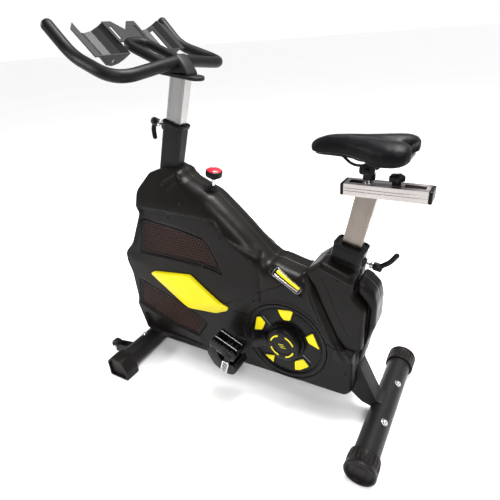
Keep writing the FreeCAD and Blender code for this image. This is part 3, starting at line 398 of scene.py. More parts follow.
def metal_material(name, colour, roughness, turn=(0, 0, 0), stretch=(60, 60, 2.0), streak=0.12, anisotropy=0.5,
                   metallic=1.0, relief=0.06):
    """Metal with fine streaks along one direction: noise stretched by the mapping varies tone, gloss and relief."""
    material, tree, shader = start_material(name)
    place_node = tree.nodes.new("ShaderNodeTexCoord")
    place_node.label, place_node.location = "Place on the bike", (-1300, 0)
    along = tree.nodes.new("ShaderNodeMapping")
    along.label, along.location = "Streak direction", (-1080, 0)
    along.vector_type = "TEXTURE"
    along.inputs["Rotation"].default_value = turn
    pull = tree.nodes.new("ShaderNodeMapping")
    pull.label, pull.location = "Streak length", (-880, 0)
    pull.inputs["Scale"].default_value = stretch
    group_nodes(tree, "Streak placing", (0.25, 0.25, 0.35), along, pull)

    hairs = tree.nodes.new("ShaderNodeTexNoise")
    hairs.label, hairs.location = "Brushed hairlines", (-640, 120)
    hairs.inputs["Scale"].default_value = 14.0
    hairs.inputs["Detail"].default_value = 8.0
    hairs.inputs["Roughness"].default_value = 0.65
    smudge = tree.nodes.new("ShaderNodeTexNoise")
    smudge.label, smudge.location = "Finger smudges", (-640, -200)
    smudge.inputs["Scale"].default_value = 18.0
    smudge.inputs["Detail"].default_value = 5.0
    tone = tree.nodes.new("ShaderNodeValToRGB")
    tone.label, tone.location = "Light and dark hairs", (-380, 200)
    tone.color_ramp.elements[0].position = 0.3
    tone.color_ramp.elements[1].position = 0.7
    tone.color_ramp.elements[0].color = (*[c * (1 - streak) for c in colour], 1)
    tone.color_ramp.elements[1].color = (*[min(1.0, c * (1 + streak)) for c in colour], 1)
    gloss = tree.nodes.new("ShaderNodeMapRange")
    gloss.label, gloss.location = "Gloss from smudges", (-380, -200)
    gloss.inputs["From Min"].default_value = 0.35
    gloss.inputs["From Max"].default_value = 0.65
    gloss.inputs["To Min"].default_value = max(0.03, roughness - 0.06)
    gloss.inputs["To Max"].default_value = roughness + 0.08
    bump = tree.nodes.new("ShaderNodeBump")
    bump.label, bump.location = "Hairline relief", (-100, -380)
    bump.inputs["Strength"].default_value = relief
    bump.inputs["Distance"].default_value = 0.0003
    group_nodes(tree, "Brushing and smudges", (0.3, 0.25, 0.25), hairs, smudge, tone, gloss, bump)

    shader.inputs["Metallic"].default_value = metallic
    shader.inputs["Anisotropic"].default_value = anisotropy
    link = tree.links.new
    link(place_node.outputs["Object"], along.inputs["Vector"])
    link(along.outputs["Vector"], pull.inputs["Vector"])
    link(pull.outputs["Vector"], hairs.inputs["Vector"])
    link(place_node.outputs["Object"], smudge.inputs["Vector"])
    link(hairs.outputs["Fac"], tone.inputs["Fac"])
    link(tone.outputs["Color"], shader.inputs["Base Color"])
    link(smudge.outputs["Fac"], gloss.inputs["Value"])
    link(gloss.outputs["Result"], shader.inputs["Roughness"])
    link(hairs.outputs["Fac"], bump.inputs["Height"])
    link(bump.outputs["Normal"], shader.inputs["Normal"])
    return material


def painted_material(name, colour, roughness, peel=0.1, coat=0.3, tint=(0.05, 0.05, 0.055)):
    """Powder coat or gloss paint: orange-peel relief, faint dust in patches and a clear skin over the colour."""
    material, tree, shader = start_material(name)
    place_node = tree.nodes.new("ShaderNodeTexCoord")
    place_node.label, place_node.location = "Place on the bike", (-1100, 0)
    skin_relief = tree.nodes.new("ShaderNodeTexNoise")
    skin_relief.label, skin_relief.location = "Orange peel", (-800, -300)
    skin_relief.inputs["Scale"].default_value = 420.0
    skin_relief.inputs["Detail"].default_value = 3.0
    bump = tree.nodes.new("ShaderNodeBump")
    bump.label, bump.location = "Peel relief", (-350, -300)
    bump.inputs["Strength"].default_value = peel
    bump.inputs["Distance"].default_value = 0.0005
    group_nodes(tree, "Orange peel", (0.2, 0.3, 0.25), skin_relief, bump)

    patches = tree.nodes.new("ShaderNodeTexNoise")
    patches.label, patches.location = "Dust patches", (-800, 150)
    patches.inputs["Scale"].default_value = 11.0
    patches.inputs["Detail"].default_value = 6.0
    amount = tree.nodes.new("ShaderNodeMapRange")
    amount.label, amount.location = "Dust amount", (-580, 150)
    amount.inputs["From Min"].default_value = 0.45
    amount.inputs["From Max"].default_value = 0.8
    amount.inputs["To Max"].default_value = 0.4
    dusted = tree.nodes.new("ShaderNodeMix")
    dusted.data_type = "RGBA"
    dusted.label, dusted.location = "Dust over colour", (-350, 150)
    dusted.inputs["A"].default_value = (*colour, 1)
    dusted.inputs["B"].default_value = (*[c * 0.8 + t for c, t in zip(colour, tint)], 1)
    gloss = tree.nodes.new("ShaderNodeMapRange")
    gloss.label, gloss.location = "Duller under dust", (-350, -60)
    gloss.inputs["To Min"].default_value = roughness - 0.04
    gloss.inputs["To Max"].default_value = roughness + 0.1
    group_nodes(tree, "Dust", (0.3, 0.28, 0.2), patches, amount, dusted, gloss)

    shader.inputs["Coat Weight"].default_value = coat
    shader.inputs["Coat Roughness"].default_value = 0.2
    shader.inputs["Specular IOR Level"].default_value = 0.12
    link = tree.links.new
    link(place_node.outputs["Object"], skin_relief.inputs["Vector"])
    link(place_node.outputs["Object"], patches.inputs["Vector"])
    link(skin_relief.outputs["Fac"], bump.inputs["Height"])
    link(bump.outputs["Normal"], shader.inputs["Normal"])
    link(patches.outputs["Fac"], amount.inputs["Value"])
    link(amount.outputs["Result"], dusted.inputs["Factor"])
    link(dusted.outputs["Result"], shader.inputs["Base Color"])
    link(patches.outputs["Fac"], gloss.inputs["Value"])
    link(gloss.outputs["Result"], shader.inputs["Roughness"])
    return material


def leatherette_material():
    """Saddle cover: cells of pressed grain over slow wrinkles, with a soft sheen and polish where it is sat on."""
    material, tree, shader = start_material("saddle_leatherette")
    place_node = tree.nodes.new("ShaderNodeTexCoord")
    place_node.label, place_node.location = "Place on the bike", (-1300, 0)
    cells = tree.nodes.new("ShaderNodeTexVoronoi")
    cells.label, cells.location = "Pressed grain cells", (-1000, -200)
    cells.feature = "DISTANCE_TO_EDGE"
    cells.inputs["Scale"].default_value = 620.0
    creases = tree.nodes.new("ShaderNodeTexNoise")
    creases.label, creases.location = "Slow wrinkles", (-1000, -480)
    creases.inputs["Scale"].default_value = 55.0
    creases.inputs["Detail"].default_value = 5.0
    fine_bump = tree.nodes.new("ShaderNodeBump")
    fine_bump.label, fine_bump.location = "Grain relief", (-450, -200)
    fine_bump.inputs["Strength"].default_value = 0.35
    fine_bump.inputs["Distance"].default_value = 0.0004
    slow_bump = tree.nodes.new("ShaderNodeBump")
    slow_bump.label, slow_bump.location = "Wrinkle relief", (-700, -480)
    slow_bump.inputs["Strength"].default_value = 0.2
    slow_bump.inputs["Distance"].default_value = 0.0012
    group_nodes(tree, "Grain and wrinkles", (0.2, 0.3, 0.25), cells, creases, fine_bump, slow_bump)

    tone = tree.nodes.new("ShaderNodeValToRGB")
    tone.label, tone.location = "Dark between cells", (-700, 200)
    tone.color_ramp.elements[0].color = (0.0008, 0.0008, 0.001, 1)
    tone.color_ramp.elements[1].color = (0.0022, 0.0022, 0.0028, 1)
    tone.color_ramp.elements[1].position = 0.12
    polish = tree.nodes.new("ShaderNodeMapRange")
    polish.label, polish.location = "Polished patches", (-700, 0)
    polish.inputs["From Min"].default_value = 0.3
    polish.inputs["From Max"].default_value = 0.7
    polish.inputs["To Min"].default_value = 0.36
    polish.inputs["To Max"].default_value = 0.5
    group_nodes(tree, "Colour and polish", (0.3, 0.28, 0.2), tone, polish)

    shader.inputs["Sheen Weight"].default_value = 0.02
    shader.inputs["Sheen Roughness"].default_value = 0.5
    shader.inputs["Specular IOR Level"].default_value = 0.06
    link = tree.links.new
    link(place_node.outputs["Object"], cells.inputs["Vector"])
    link(place_node.outputs["Object"], creases.inputs["Vector"])
    link(cells.outputs["Distance"], fine_bump.inputs["Height"])
    link(creases.outputs["Fac"], slow_bump.inputs["Height"])
    link(slow_bump.outputs["Normal"], fine_bump.inputs["Normal"])
    link(fine_bump.outputs["Normal"], shader.inputs["Normal"])
    link(cells.outputs["Distance"], tone.inputs["Fac"])
    link(tone.outputs["Color"], shader.inputs["Base Color"])
    link(creases.outputs["Fac"], polish.inputs["Value"])
    link(polish.outputs["Result"], shader.inputs["Roughness"])
    return material


def floor_material():
    """Plain pale floor with a hardly visible cloudiness."""
    material, tree, shader = start_material("studio_floor")
    place_node = tree.nodes.new("ShaderNodeTexCoord")
    place_node.label, place_node.location = "Place on the floor", (-900, 0)
    haze = tree.nodes.new("ShaderNodeTexNoise")
    haze.label, haze.location = "Faint haze", (-650, 0)
    haze.inputs["Scale"].default_value = 0.8
    tone = tree.nodes.new("ShaderNodeValToRGB")
    tone.label, tone.location = "Pale tones", (-400, 0)
    tone.color_ramp.elements[0].color = (0.86, 0.86, 0.86, 1)
    tone.color_ramp.elements[1].color = (0.9, 0.9, 0.9, 1)
    group_nodes(tree, "Pale floor", (0.3, 0.3, 0.3), haze, tone)
    shader.inputs["Roughness"].default_value = 0.8
    tree.links.new(place_node.outputs["Object"], haze.inputs["Vector"])
    tree.links.new(haze.outputs["Fac"], tone.inputs["Fac"])
    tree.links.new(tone.outputs["Color"], shader.inputs["Base Color"])
    return material


FRONT_LEAN = math.atan2(joint_axis("handlebar_height")[0], joint_axis("handlebar_height")[2])
SEAT_LEAN = math.atan2(joint_axis("seat_height")[0], joint_axis("seat_height")[2])

COVER = moulded_material("cover_plastic", (0.0042, 0.0034, 0.0030), 0.34, grain=1100, depth=0.08)
HARD_BLACK = moulded_material("hard_black_plastic", (0.0030, 0.0027, 0.0027), 0.30, grain=1500, depth=0.05)
FOOT_RUBBER = moulded_material("foot_rubber", (0.006, 0.0045, 0.0045), 0.4, grain=700, depth=0.12)
GRIP_FOAM = moulded_material("grip_coat", (0.0040, 0.0036, 0.0038), 0.42, grain=1300, depth=0.3, edge=0.1)
BELT_RUBBER = moulded_material("belt_rubber", (0.008, 0.008, 0.008), 0.55, grain=500, depth=0.3)
GRILLE = moulded_material("vent_grille", (0.022, 0.010, 0.008), 0.45, grain=1500, depth=0.08)
FRAME_STEEL = painted_material("black_powder_coat", (0.0060, 0.0055, 0.0058), 0.45, peel=0.12, coat=0.02,
                               tint=(0.006, 0.005, 0.005))
YELLOW = painted_material("yellow_gloss", (0.62, 0.52, 0.002), 0.34, peel=0.04, coat=0.06, tint=(0.02, 0.03, 0.0))
RED = painted_material("knob_red", (0.30, 0.010, 0.018), 0.28, peel=0.04, coat=0.25, tint=(0.02, 0.01, 0.01))
REFLECTOR = painted_material("reflector_strip", (0.60, 0.47, 0.008), 0.2, peel=0.02, coat=0.3, tint=(0.02, 0.03, 0.0))
FRONT_EXTRUSION = metal_material("front_post_aluminium", (0.30, 0.295, 0.29), 0.32, turn=(0, FRONT_LEAN, 0))
SEAT_EXTRUSION = metal_material("seat_post_aluminium", (0.145, 0.126, 0.110), 0.32, turn=(0, SEAT_LEAN, 0))
BEAM_EXTRUSION = metal_material("beam_aluminium", (0.36, 0.335, 0.325), 0.3, stretch=(2.0, 60, 60))
BRIGHT_STEEL = metal_material("bright_zinc", (0.42, 0.42, 0.42), 0.22, stretch=(30, 30, 30), anisotropy=0.0)
CAST_IRON = metal_material("cast_wheel", (0.12, 0.12, 0.125), 0.4, stretch=(20, 20, 20), anisotropy=0.0)
LEATHERETTE = leatherette_material()

SLOT_MATERIALS = {
    "frame_steel": FRAME_STEEL, "extrusion": FRONT_EXTRUSION, "cover_plastic": COVER, "bright_steel": BRIGHT_STEEL,
    "yellow_trim": YELLOW, "vent_mesh": GRILLE, "hard_black": HARD_BLACK, "foot_rubber": FOOT_RUBBER,
    "grip_foam": GRIP_FOAM, "saddle_skin": LEATHERETTE, "cast_wheel": CAST_IRON, "belt_rubber": BELT_RUBBER,
    "knob_red": RED, "reflector": REFLECTOR, "pad_felt": BELT_RUBBER,
}


def paint_frame_nodes():
    """Gives every CAD node the material of its record slot, and the leaning posts their own brushing."""
    special = {"seat_post": SEAT_EXTRUSION, "seat_slider": BEAM_EXTRUSION}
    for row in frame["record"]["subparts"]:
        node = frame["nodes"][row["node"]]
        node.data.materials.clear()
        node.data.materials.append(special.get(row["node"], SLOT_MATERIALS[row["material_slot"]]))


# ---------------------------------------------------------------- body cover

BODY_OUTLINE = [
    (-292, 765), (-352, 700), (-366, 642), (-354, 624), (-420, 497), (-465, 452), (-468, 415), (-454, 370),
    (-452, 252), (-464, 228), (-436, 110), (-345, 88), (-127, 93), (195, 107), (391, 112), (413, 140),
    (412, 292), (385, 288), (360, 320), (322, 400), (291, 470), (262, 520), (245, 500), (192, 512),
    (150, 524), (133, 522), (89, 565), (38, 616), (-14, 664), (-66, 709), (-103, 725), (-159, 750),
    (-180, 779), (-235, 782),
]
BACK_EDGE = [(-190, 785), (-159, 750), (-103, 725), (-66, 709), (-14, 664), (38, 616), (89, 565), (133, 522),
             (192, 512), (245, 500), (262, 520)]
COWL_PANEL = [(-420, 641), (-60, 640), (-42, 632), (-13, 592), (32, 565), (96, 533), (105, 522), (105, 60),
              (-500, 60), (-500, 500)]
UPPER_VENT = [(-356, 600), (-216, 588), (-95, 566), (-80, 548), (-32, 452), (-115, 468), (-265, 468), (-386, 466)]
LOWER_VENT = [(-415, 350), (-322, 321), (-189, 279), (-121, 230), (-165, 162), (-280, 173), (-396, 218),
              (-438, 236)]
CHIN = [(-424, 190), (-363, 204), (-187, 157), (-150, 128), (-184, 108), (-367, 104), (-430, 125)]
FRONT_RIB = [(252, 536), (270, 492), (298, 414), (340, 318), (372, 262)]
REAR_RIB = [(279, 537), (291, 508), (322, 421), (385, 290), (408, 262)]
CRANK = joint_point("crank_spin")
COVER_HALF, COVER_ROUNDING, RING_RADIUS = 75.0, 11, 139.0
NECK_FOOT, NECK_TALL, NECK_TAPER = 655, 121, 31
COWL_SEAM = [(98, 600), (105, 560), (106, 395)]
RIB_GROOVE = [(266, 534), (281, 500), (309, 418), (355, 312)]
UPPER_CREASE = [(-236, 736), (-128, 790)]
LOWER_CREASE = [(-215, 716), (-136, 763)]
COWL_LIP = [(-64, 645), (-42, 634), (-13, 593), (32, 566), (96, 534)]
REFLECTOR_SLOT = [(155, 505), (244, 461)]


def bell(x, z, line, height, width):
    """Bell-shaped ridge round a line: its height times e to the minus square of distance over width."""
    return height * np.exp(-(line_distance(x, z, line) / width) ** 2)


def cover_depth(x, z):
    """Half-width of the body cover at each point of its side.

    A flat side at the full half-width is drawn in at the rim by a quarter ellipse, and it narrows in a straight slope
    towards the handlebar post. The ellipse is a broad shoulder along the back and a tight rounding elsewhere. Panels
    are let in with short slopes, and ribs are added as bell-shaped ridges round a line.
    """
    rim = np.maximum(outline_depth(x, z, BODY_CURVE), 0.0)
    back = smooth(1 - (line_distance(x, z, BACK_EDGE) - rim) / 45)
    shoulder = 46 + 22 * smooth((z - 500) / 80)
    reach_in = COVER_ROUNDING + (shoulder - COVER_ROUNDING) * back
    drop = COVER_ROUNDING + (shoulder * 0.86 - COVER_ROUNDING) * back
    share = np.minimum(rim / reach_in, 1)
    edge = COVER_HALF - drop * (1 - np.sqrt(np.maximum(1 - (1 - share) ** 2, 0)))
    neck = COVER_HALF - NECK_TAPER * (z - NECK_FOOT) / NECK_TALL
    depth = soft_least(edge, np.where(z > 600, neck, 90.0), 8.0)
    panel = smooth(outline_depth(x, z, COWL_PANEL) / 7 + 0.5)
    depth -= 11 * panel * smooth((z - 360) / 190) * smooth(rim / 20)
    depth -= bell(x, z, COWL_SEAM, 5.0, 4.0)
    for vent in (UPPER_VENT, LOWER_VENT):
        depth -= 6 * smooth(outline_depth(x, z, vent) / 4 + 0.5)
    chin = outline_depth(x, z, CHIN)
    fall = np.clip((205 - 0.27 * (x + 363) - z) / 75, 0, 1)
    depth -= 13 * fall * smooth(chin / 5 + 0.5)
    nose = np.exp(-((z - 433 + 0.1 * (x + 465)) / 26) ** 2)
    depth += 2.5 * nose * smooth((-300 - x) / 130) * smooth(rim / 25)
    for rib, height in ((FRONT_RIB, 7.5), (REAR_RIB, 6.5)):
        depth += bell(x, z, rib, height, 9.0) * smooth(rim / 6)
    depth -= bell(x, z, RIB_GROOVE, 3.0, 4.5)
    depth += bell(x, z, UPPER_CREASE, 2.2, 4.0) + bell(x, z, LOWER_CREASE, 2.0, 3.5)
    depth += bell(x, z, COWL_LIP, 4.0, 5.0)
    reach = np.hypot(x - CRANK[0], z - CRANK[2])
    depth += 2.0 * np.exp(-((reach - 146) / 5.0) ** 2)
    depth -= 6.0 * smooth((RING_RADIUS + 2 - reach) / 3)
    slot = line_distance(x, z, REFLECTOR_SLOT)
    return depth - 5.0 * smooth((13.5 - slot) / 3)


BODY_CURVE = spread(rounded(BODY_OUTLINE, 12, 5), 430)


def side_shell(name, curve, centre, depth, side, rows=104, wall=2.5, rim_rows=5):
    """Half of a cover: rows run in from the outline at the middle plane, over the rim and across the side to a centre.

    A row's share of the way to the centre grows slowly at the rim, so that the rounding has most of the points.
    """
    share = np.linspace(0, 1, rows) ** 1.35
    flat = curve[None] + (np.asarray(centre, float) - curve)[None] * share[:, None, None]
    half = depth(flat[..., 0], flat[..., 1])
    rim = half[:1] * np.linspace(0, 1, rim_rows, endpoint=False)[:, None]
    x = np.vstack([np.repeat(flat[:1, :, 0], rim_rows, 0), flat[..., 0]])
    z = np.vstack([np.repeat(flat[:1, :, 1], rim_rows, 0), flat[..., 1]])
    rings = np.stack([x, side * np.vstack([rim, half]), z], axis=-1)
    piece = skin(name, rings, ends=False, sharp=40)
    middle = len(piece.data.polygons) // 2
    if piece.data.polygons[middle].normal.y * side < 0:
        piece.data.flip_normals()
    solid = piece.modifiers.new("Cover wall", "SOLIDIFY")
    solid.thickness, solid.offset = wall * MM, -1
    return piece


def body_covers():
    """Left and right halves of the body cover."""
    for side, word in SIDES:
        piece = side_shell("cover_" + word, BODY_CURVE, (-50, 330), cover_depth, side)
        place(piece, "frame", "cover_plastic", COVER, "shroud_" + word)


# ---------------------------------------------------------------- trim on the cover's sides

Y = np.array([0.0, 1.0, 0.0])
SIDE_AXES = ((1, 0, 0), (0, 0, 1), (0, 1, 0))
BADGE = [(-352, 386), (-330, 401), (-165, 423), (-48, 341), (-16, 330), (-26, 314), (-74, 291), (-199, 277)]


def flat_at(value):
    """Field of one constant value, for pads that sit on a flat face."""
    return lambda x, z: np.full(np.shape(x), float(value))


def raised_pad(name, outline, base, rise, side, edge=3.0, sunk=2.5, rows=14, reach=4, sharp=30):
    """Pad on a side face: rows run from a sunk rim up and over a rounded edge to the outline's centre.

    Its height over the base is the rise times a quarter circle of the distance from the outline, plus the rise's field.
    """
    curve = spread(rounded(outline, reach, 5), 120)
    centre = curve.mean(0)
    share = np.linspace(0, 1, rows) ** 1.6
    flat = curve[None] + (centre - curve)[None] * share[:, None, None]
    x, z = flat[..., 0], flat[..., 1]
    inner = np.minimum(np.maximum(outline_depth(x, z, curve), 0), edge) / edge
    height = rise(x, z) * np.sqrt(np.maximum(1 - (1 - inner) ** 2, 0))
    level = base(x, z)
    rows_y = np.vstack([level[:1] - sunk, level + height])
    rings = np.stack([np.vstack([x[:1], x]), side * rows_y, np.vstack([z[:1], z])], axis=-1)
    return skin(name, rings, ends=False, sharp=sharp)


def badge_rise(x, z):
    """Height of the blade: level on top, and falling off in one straight facet along its lower edge."""
    lower = line_distance(x, z, [(-352, 386), (-199, 277), (-74, 291), (-26, 314)])
    return 1.2 + 11.0 * np.clip(lower / 36, 0, 1)


def badges():
    """Yellow blade on each side of the cover."""
    for side, word in SIDES:
        piece = raised_pad("blade_" + word, BADGE, cover_depth, badge_rise, side, edge=3.5, rows=26, reach=7)
        place(piece, "frame", "yellow_trim", YELLOW, "side_badges")


def grille_cells(outline, side, pitch=11.0, margin=8.0):
    """Perforated sheet: rows of square cells, every other row shifted half a cell, each with a hole.

    A cell has eight points round its border, eight round the hole and eight at the hole's bottom.
    """
    points = np.asarray(outline, float)
    low, high = points.min(0), points.max(0)
    columns = np.arange(low[0], high[0] + pitch, pitch)
    lines = np.arange(low[1], high[1] + pitch, pitch * 0.9)
    x, z = np.meshgrid(columns, lines)
    x = x + (np.arange(len(lines)) % 2)[:, None] * pitch / 2
    x, z = x.ravel(), z.ravel()
    keep = outline_depth(x, z, outline) > margin
    x, z = x[keep], z[keep]
    corner = np.array([(-1, -1), (0, -1), (1, -1), (1, 0), (1, 1), (0, 1), (-1, 1), (-1, 0)], float)
    border = corner * np.array([pitch / 2, pitch * 0.45])
    angle = np.radians([225, 270, 315, 0, 45, 90, 135, 180])
    hole = np.stack([np.cos(angle), np.sin(angle)], axis=1) * pitch * 0.36
    rings, drops = (border, hole, hole * 0.86), (2.6, 2.2, 0.2)
    points = []
    for ring, drop in zip(rings, drops):
        px, pz = x[:, None] + ring[:, 0], z[:, None] + ring[:, 1]
        points.append(np.stack([px, side * (cover_depth(px, pz) + drop), pz], axis=-1))
    points = np.stack(points, axis=1)
    quads = grid_quads(3, 8, wrap_columns=True)
    faces = (quads[None] + (np.arange(len(x)) * 24)[:, None, None]).reshape(-1, 4)
    return points.reshape(-1, 3), faces.tolist()


VENTS = (("upper", UPPER_VENT), ("lower", LOWER_VENT))


def vents():
    """Perforated sheets in the cover's openings, each in a bevelled frame."""
    bezel = rounded([(-6.0, -2.5), (-6.0, 0.8), (-1.5, 4.2), (2.5, 4.2), (5.5, 1.0), (5.5, -2.5)], 1.5, 4)
    for side, word in SIDES:
        for place_word, outline in VENTS:
            points, faces = grille_cells(outline, side)
            piece = make_mesh(f"grille_{place_word}_{word}", points, faces, 30)
            place(piece, "frame", "vent_mesh", GRILLE, "vent_panels")
            curve = spread(rounded(outline, 9, 6), 150)
            curve = curve + inward(curve) * 6.5
            depth = cover_depth(curve[:, 0], curve[:, 1])
            rim = ribbon(f"grille_frame_{place_word}_{word}", curve, bezel, 0.0, closed=True, up=(0, side, 0))
            shift = np.repeat(depth * side, len(bezel))
            shift_rows(rim, curve, shift, len(bezel))
            place(rim, "frame", "cover_plastic", COVER, "vent_panels")


def shift_rows(piece, curve, amount, count):
    """Moves each point of a closed ribbon along Y by the amount at the nearest point of its centre line."""
    mesh = piece.data
    points = np.empty(len(mesh.vertices) * 3)
    mesh.vertices.foreach_get("co", points)
    points = points.reshape(-1, 3)
    flat = points[:, [0, 2]] / MM
    nearest = ((flat[:, None] - curve[None]) ** 2).sum(-1).argmin(1)
    points[:, 1] += amount[::count][nearest] * MM
    mesh.vertices.foreach_set("co", points.ravel())
    mesh.update()


def reflectors():
    """Slanted reflector strips with a metal frame and a bright lower bar, in the slot above the crank."""
    strip = [(162, 503), (166, 510), (243, 471), (239, 463)]
    for side, word in SIDES:
        piece = raised_pad("reflector_strip_" + word, strip, cover_depth, flat_at(4.5), side, edge=2.0, reach=3)
        place(piece, "frame", "reflector", REFLECTOR, "reflectors")
        frame_line = spread(rounded([(150, 496), (160, 515), (249, 470), (238, 450)], 6, 5), 80)
        level = cover_depth(frame_line[:, 0], frame_line[:, 1])[:, None] + 1.4
        lower = spread([(159, 497), (235, 458)], 12, closed=False)
        rest = cover_depth(lower[:, 0], lower[:, 1])[:, None] + 1.6
        bar = ribbon("reflector_bar_" + word, lower, rounded_box(2.4, 1.4, 0.9, 4), side * rest)
        place(bar, "frame", "extrusion", BEAM_EXTRUSION, "reflectors")
        rim = ribbon("reflector_frame_" + word, frame_line, rounded_box(1.6, 2.2, 1.2, 4), side * level, closed=True)
        place(rim, "frame", "cast_wheel", CAST_IRON, "reflectors")


RING_PADS = (
    [(76, 268), (88, 324), (103, 329), (120, 310), (107, 278)],
    [(166, 375), (220, 384), (208, 344), (186, 341), (175, 353)],
    [(259, 299), (283, 321), (306, 265), (269, 278)],
    [(219, 186), (251, 208), (270, 184), (240, 157), (220, 150)],
    [(110, 175), (148, 185), (141, 152)],
    [(84, 232), (112, 236), (112, 214), (94, 210)],
)
RING_SPOKES = (((112, 333), (136, 309)), ((250, 224), (275, 203)))


def crank_rings():
    """Round side plate with rolled rims, coloured pads in low frames and metal spokes between them."""
    plate = [(34, 66), (34, 70), (58, 70.2), (61, 68.5), (64, 70.2), (118, 70.6), (121, 69.2), (124, 71.5),
             (127.5, 74.5), (133, 76), (137.5, 74.5), (138.6, 70), (138.6, 66)]
    bead = [(-2.0, -1), (-2.0, 1.2), (-0.9, 2.4), (0.9, 2.4), (2.0, 1.2), (2.0, -1)]
    for side, word in SIDES:
        turn = 1 if side < 0 else -1
        axis, origin = Y * side, (CRANK[0], 0, CRANK[2])
        piece = turned("ring_plate_" + word, plate, origin, axis, 128)
        place(piece, "frame", "hard_black", HARD_BLACK, "ring_covers")
        for number, outline in enumerate(RING_PADS):
            points = np.asarray(outline, float)
            if turn < 0:
                points = 2 * CRANK[[0, 2]] - points
            pad = raised_pad(f"ring_pad_{number}_{word}", points, flat_at(70.3), flat_at(3.0), side, edge=2.0,
                             rows=8)
            place(pad, "frame", "yellow_trim", YELLOW, "ring_inserts")
            edge_line = spread(rounded(points, 4, 5), 72)
            edge_line = edge_line - inward(edge_line) * 2.6
            rim = ribbon(f"ring_pad_frame_{number}_{word}", edge_line, bead, side * 71.0, closed=True, up=Y * side)
            place(rim, "frame", "hard_black", HARD_BLACK, "ring_covers")
        for number, ends in enumerate(RING_SPOKES):
            line = np.asarray(ends, float)
            if turn < 0:
                line = 2 * CRANK[[0, 2]] - line
            spoke = ribbon(f"ring_spoke_{number}_{word}", spread(line, 8, closed=False), bead, side * 70.8,
                           up=Y * side)
            place(spoke, "frame", "cast_wheel", CAST_IRON, "ring_covers")


def arc_pad(name, inner, outer, start, end, low, high, origin, side):
    """Block between two radii and two angles, with its top edges rounded."""
    mid, half, turn = math.radians((start + end) / 2), (outer - inner) / 2, math.radians((end - start) / 2)
    angle = np.linspace(mid - turn, mid + turn, 14)
    profile = rounded([(-half, low), (-half, high), (half, high), (half, low)], 1.2, 5)
    radius = (inner + outer) / 2 + profile[:, 0]
    rings = np.stack([origin[0] + np.cos(angle)[:, None] * radius,
                      side * np.broadcast_to(profile[:, 1], (14, len(profile))),
                      origin[2] + np.sin(angle)[:, None] * radius], axis=-1)
    return skin(name, rings, sharp=50)


def hub_caps():
    """Domed cups over the crank hubs with four coloured arcs round three slanted bars."""
    cup = [(52, 77), (56.5, 77), (58, 79), (58, 92), (57, 96), (54, 98.8), (49, 100), (33, 100), (31.5, 98.6),
           (30, 98.2), (25, 98.6), (12, 99.4), (0.01, 99.8)]
    for side, word in SIDES:
        origin = (CRANK[0], 0, CRANK[2])
        piece = turned("hub_cup_" + word, cup, origin, Y * side, 96)
        place(piece, "crank", "hard_black", HARD_BLACK, "hub_caps")
        for number in range(4):
            middle = 45 + 90 * number
            arc = arc_pad(f"hub_arc_{number}_{word}", 37.5, 42.5, middle - 27, middle + 27, 98.5, 101.2, origin, side)
            place(arc, "crank", "yellow_trim", YELLOW, "hub_caps")
        for number, (across, up) in enumerate(((-4.0, 5.5), (0.0, 0.0), (4.0, -5.5))):
            bar = np.array([(-9, -1.4), (9, 1.0), (9, 3.4), (-9, 1.0)]) + (origin[0] + across, origin[2] + up)
            mark = raised_pad(f"hub_mark_{number}_{word}", bar, flat_at(99.2), flat_at(1.0), side, 0.8, 1.0, 6, 1)
            place(mark, "crank", "yellow_trim", YELLOW, "hub_caps")


SCREWS = ((-238, 726), (-230, 622), (-167, 675), (-32, 580), (76, 520), (81, 381), (389, 201))


def cover_screws():
    """Round dark screw heads with a cross recess, in small wells on both sides of the cover."""
    head = [(0.01, -1.5), (1.4, 0.2), (2.2, 1.5), (3.4, 1.2), (4.3, 0.2), (4.6, -3)]
    washer = [(4.4, -2), (4.6, 0.3), (6.2, 0.7), (7.2, -0.3), (7.4, -3)]
    for side, word in SIDES:
        for number, (x, z) in enumerate(SCREWS):
            y = float(cover_depth(np.array([x]), np.array([z]))[0])
            origin = (x, side * y, z)
            screw = turned(f"cover_screw_{number}_{word}", head, origin, Y * side, 20, lobes=4, lobe_depth=0.06)
            place(screw, "frame", "hard_black", HARD_BLACK, "shroud_screws")
            rim = turned(f"screw_well_{number}_{word}", washer, origin, Y * side, 24)
            place(rim, "frame", "cover_plastic", COVER, "shroud_screws")


# ---------------------------------------------------------------- covers round the seat post

TOWER_OUTLINE = [
    (254, 528), (284, 468), (314, 398), (352, 318), (384, 276), (431, 296), (435, 440), (396, 481), (398, 524),
    (384, 540), (300, 566),
]
REAR_COVER_OUTLINE = [
    (401, 520), (422, 514), (450, 488), (459, 450), (459, 377), (440, 318), (426, 240), (417, 240), (417, 300),
    (434, 312), (438, 442), (400, 483),
]


def tower_depth(x, z):
    """Half-width of the seat tower: rounded rim, one raised line up its front and one along its top."""
    rim = np.maximum(outline_depth(x, z, TOWER_CURVE), 0.0)
    radius = 14.0
    depth = 65 - radius + np.sqrt(np.maximum(radius ** 2 - (radius - np.minimum(rim, radius)) ** 2, 0))
    line = line_distance(x, z, [(306, 514), (328, 470), (352, 405), (386, 338)])
    depth += 1.6 * np.exp(-(line / 2.6) ** 2)
    top = line_distance(x, z, [(300, 550), (392, 516)])
    return depth + 1.4 * np.exp(-(top / 3.0) ** 2)


def rear_cover_depth(x, z):
    """Half-width of the rear cover: a full rounded edge and a slow bulge."""
    rim = np.maximum(outline_depth(x, z, REAR_CURVE), 0.0)
    radius = 14.0
    depth = 46 - radius + np.sqrt(np.maximum(radius ** 2 - (radius - np.minimum(rim, radius)) ** 2, 0))
    return depth + 1.5 * np.sin(np.clip((z - 300) / 200, 0, 1) * np.pi)


TOWER_CURVE = spread(rounded(TOWER_OUTLINE, 12, 6), 260)
REAR_CURVE = spread(rounded(REAR_COVER_OUTLINE, 10, 6), 260)


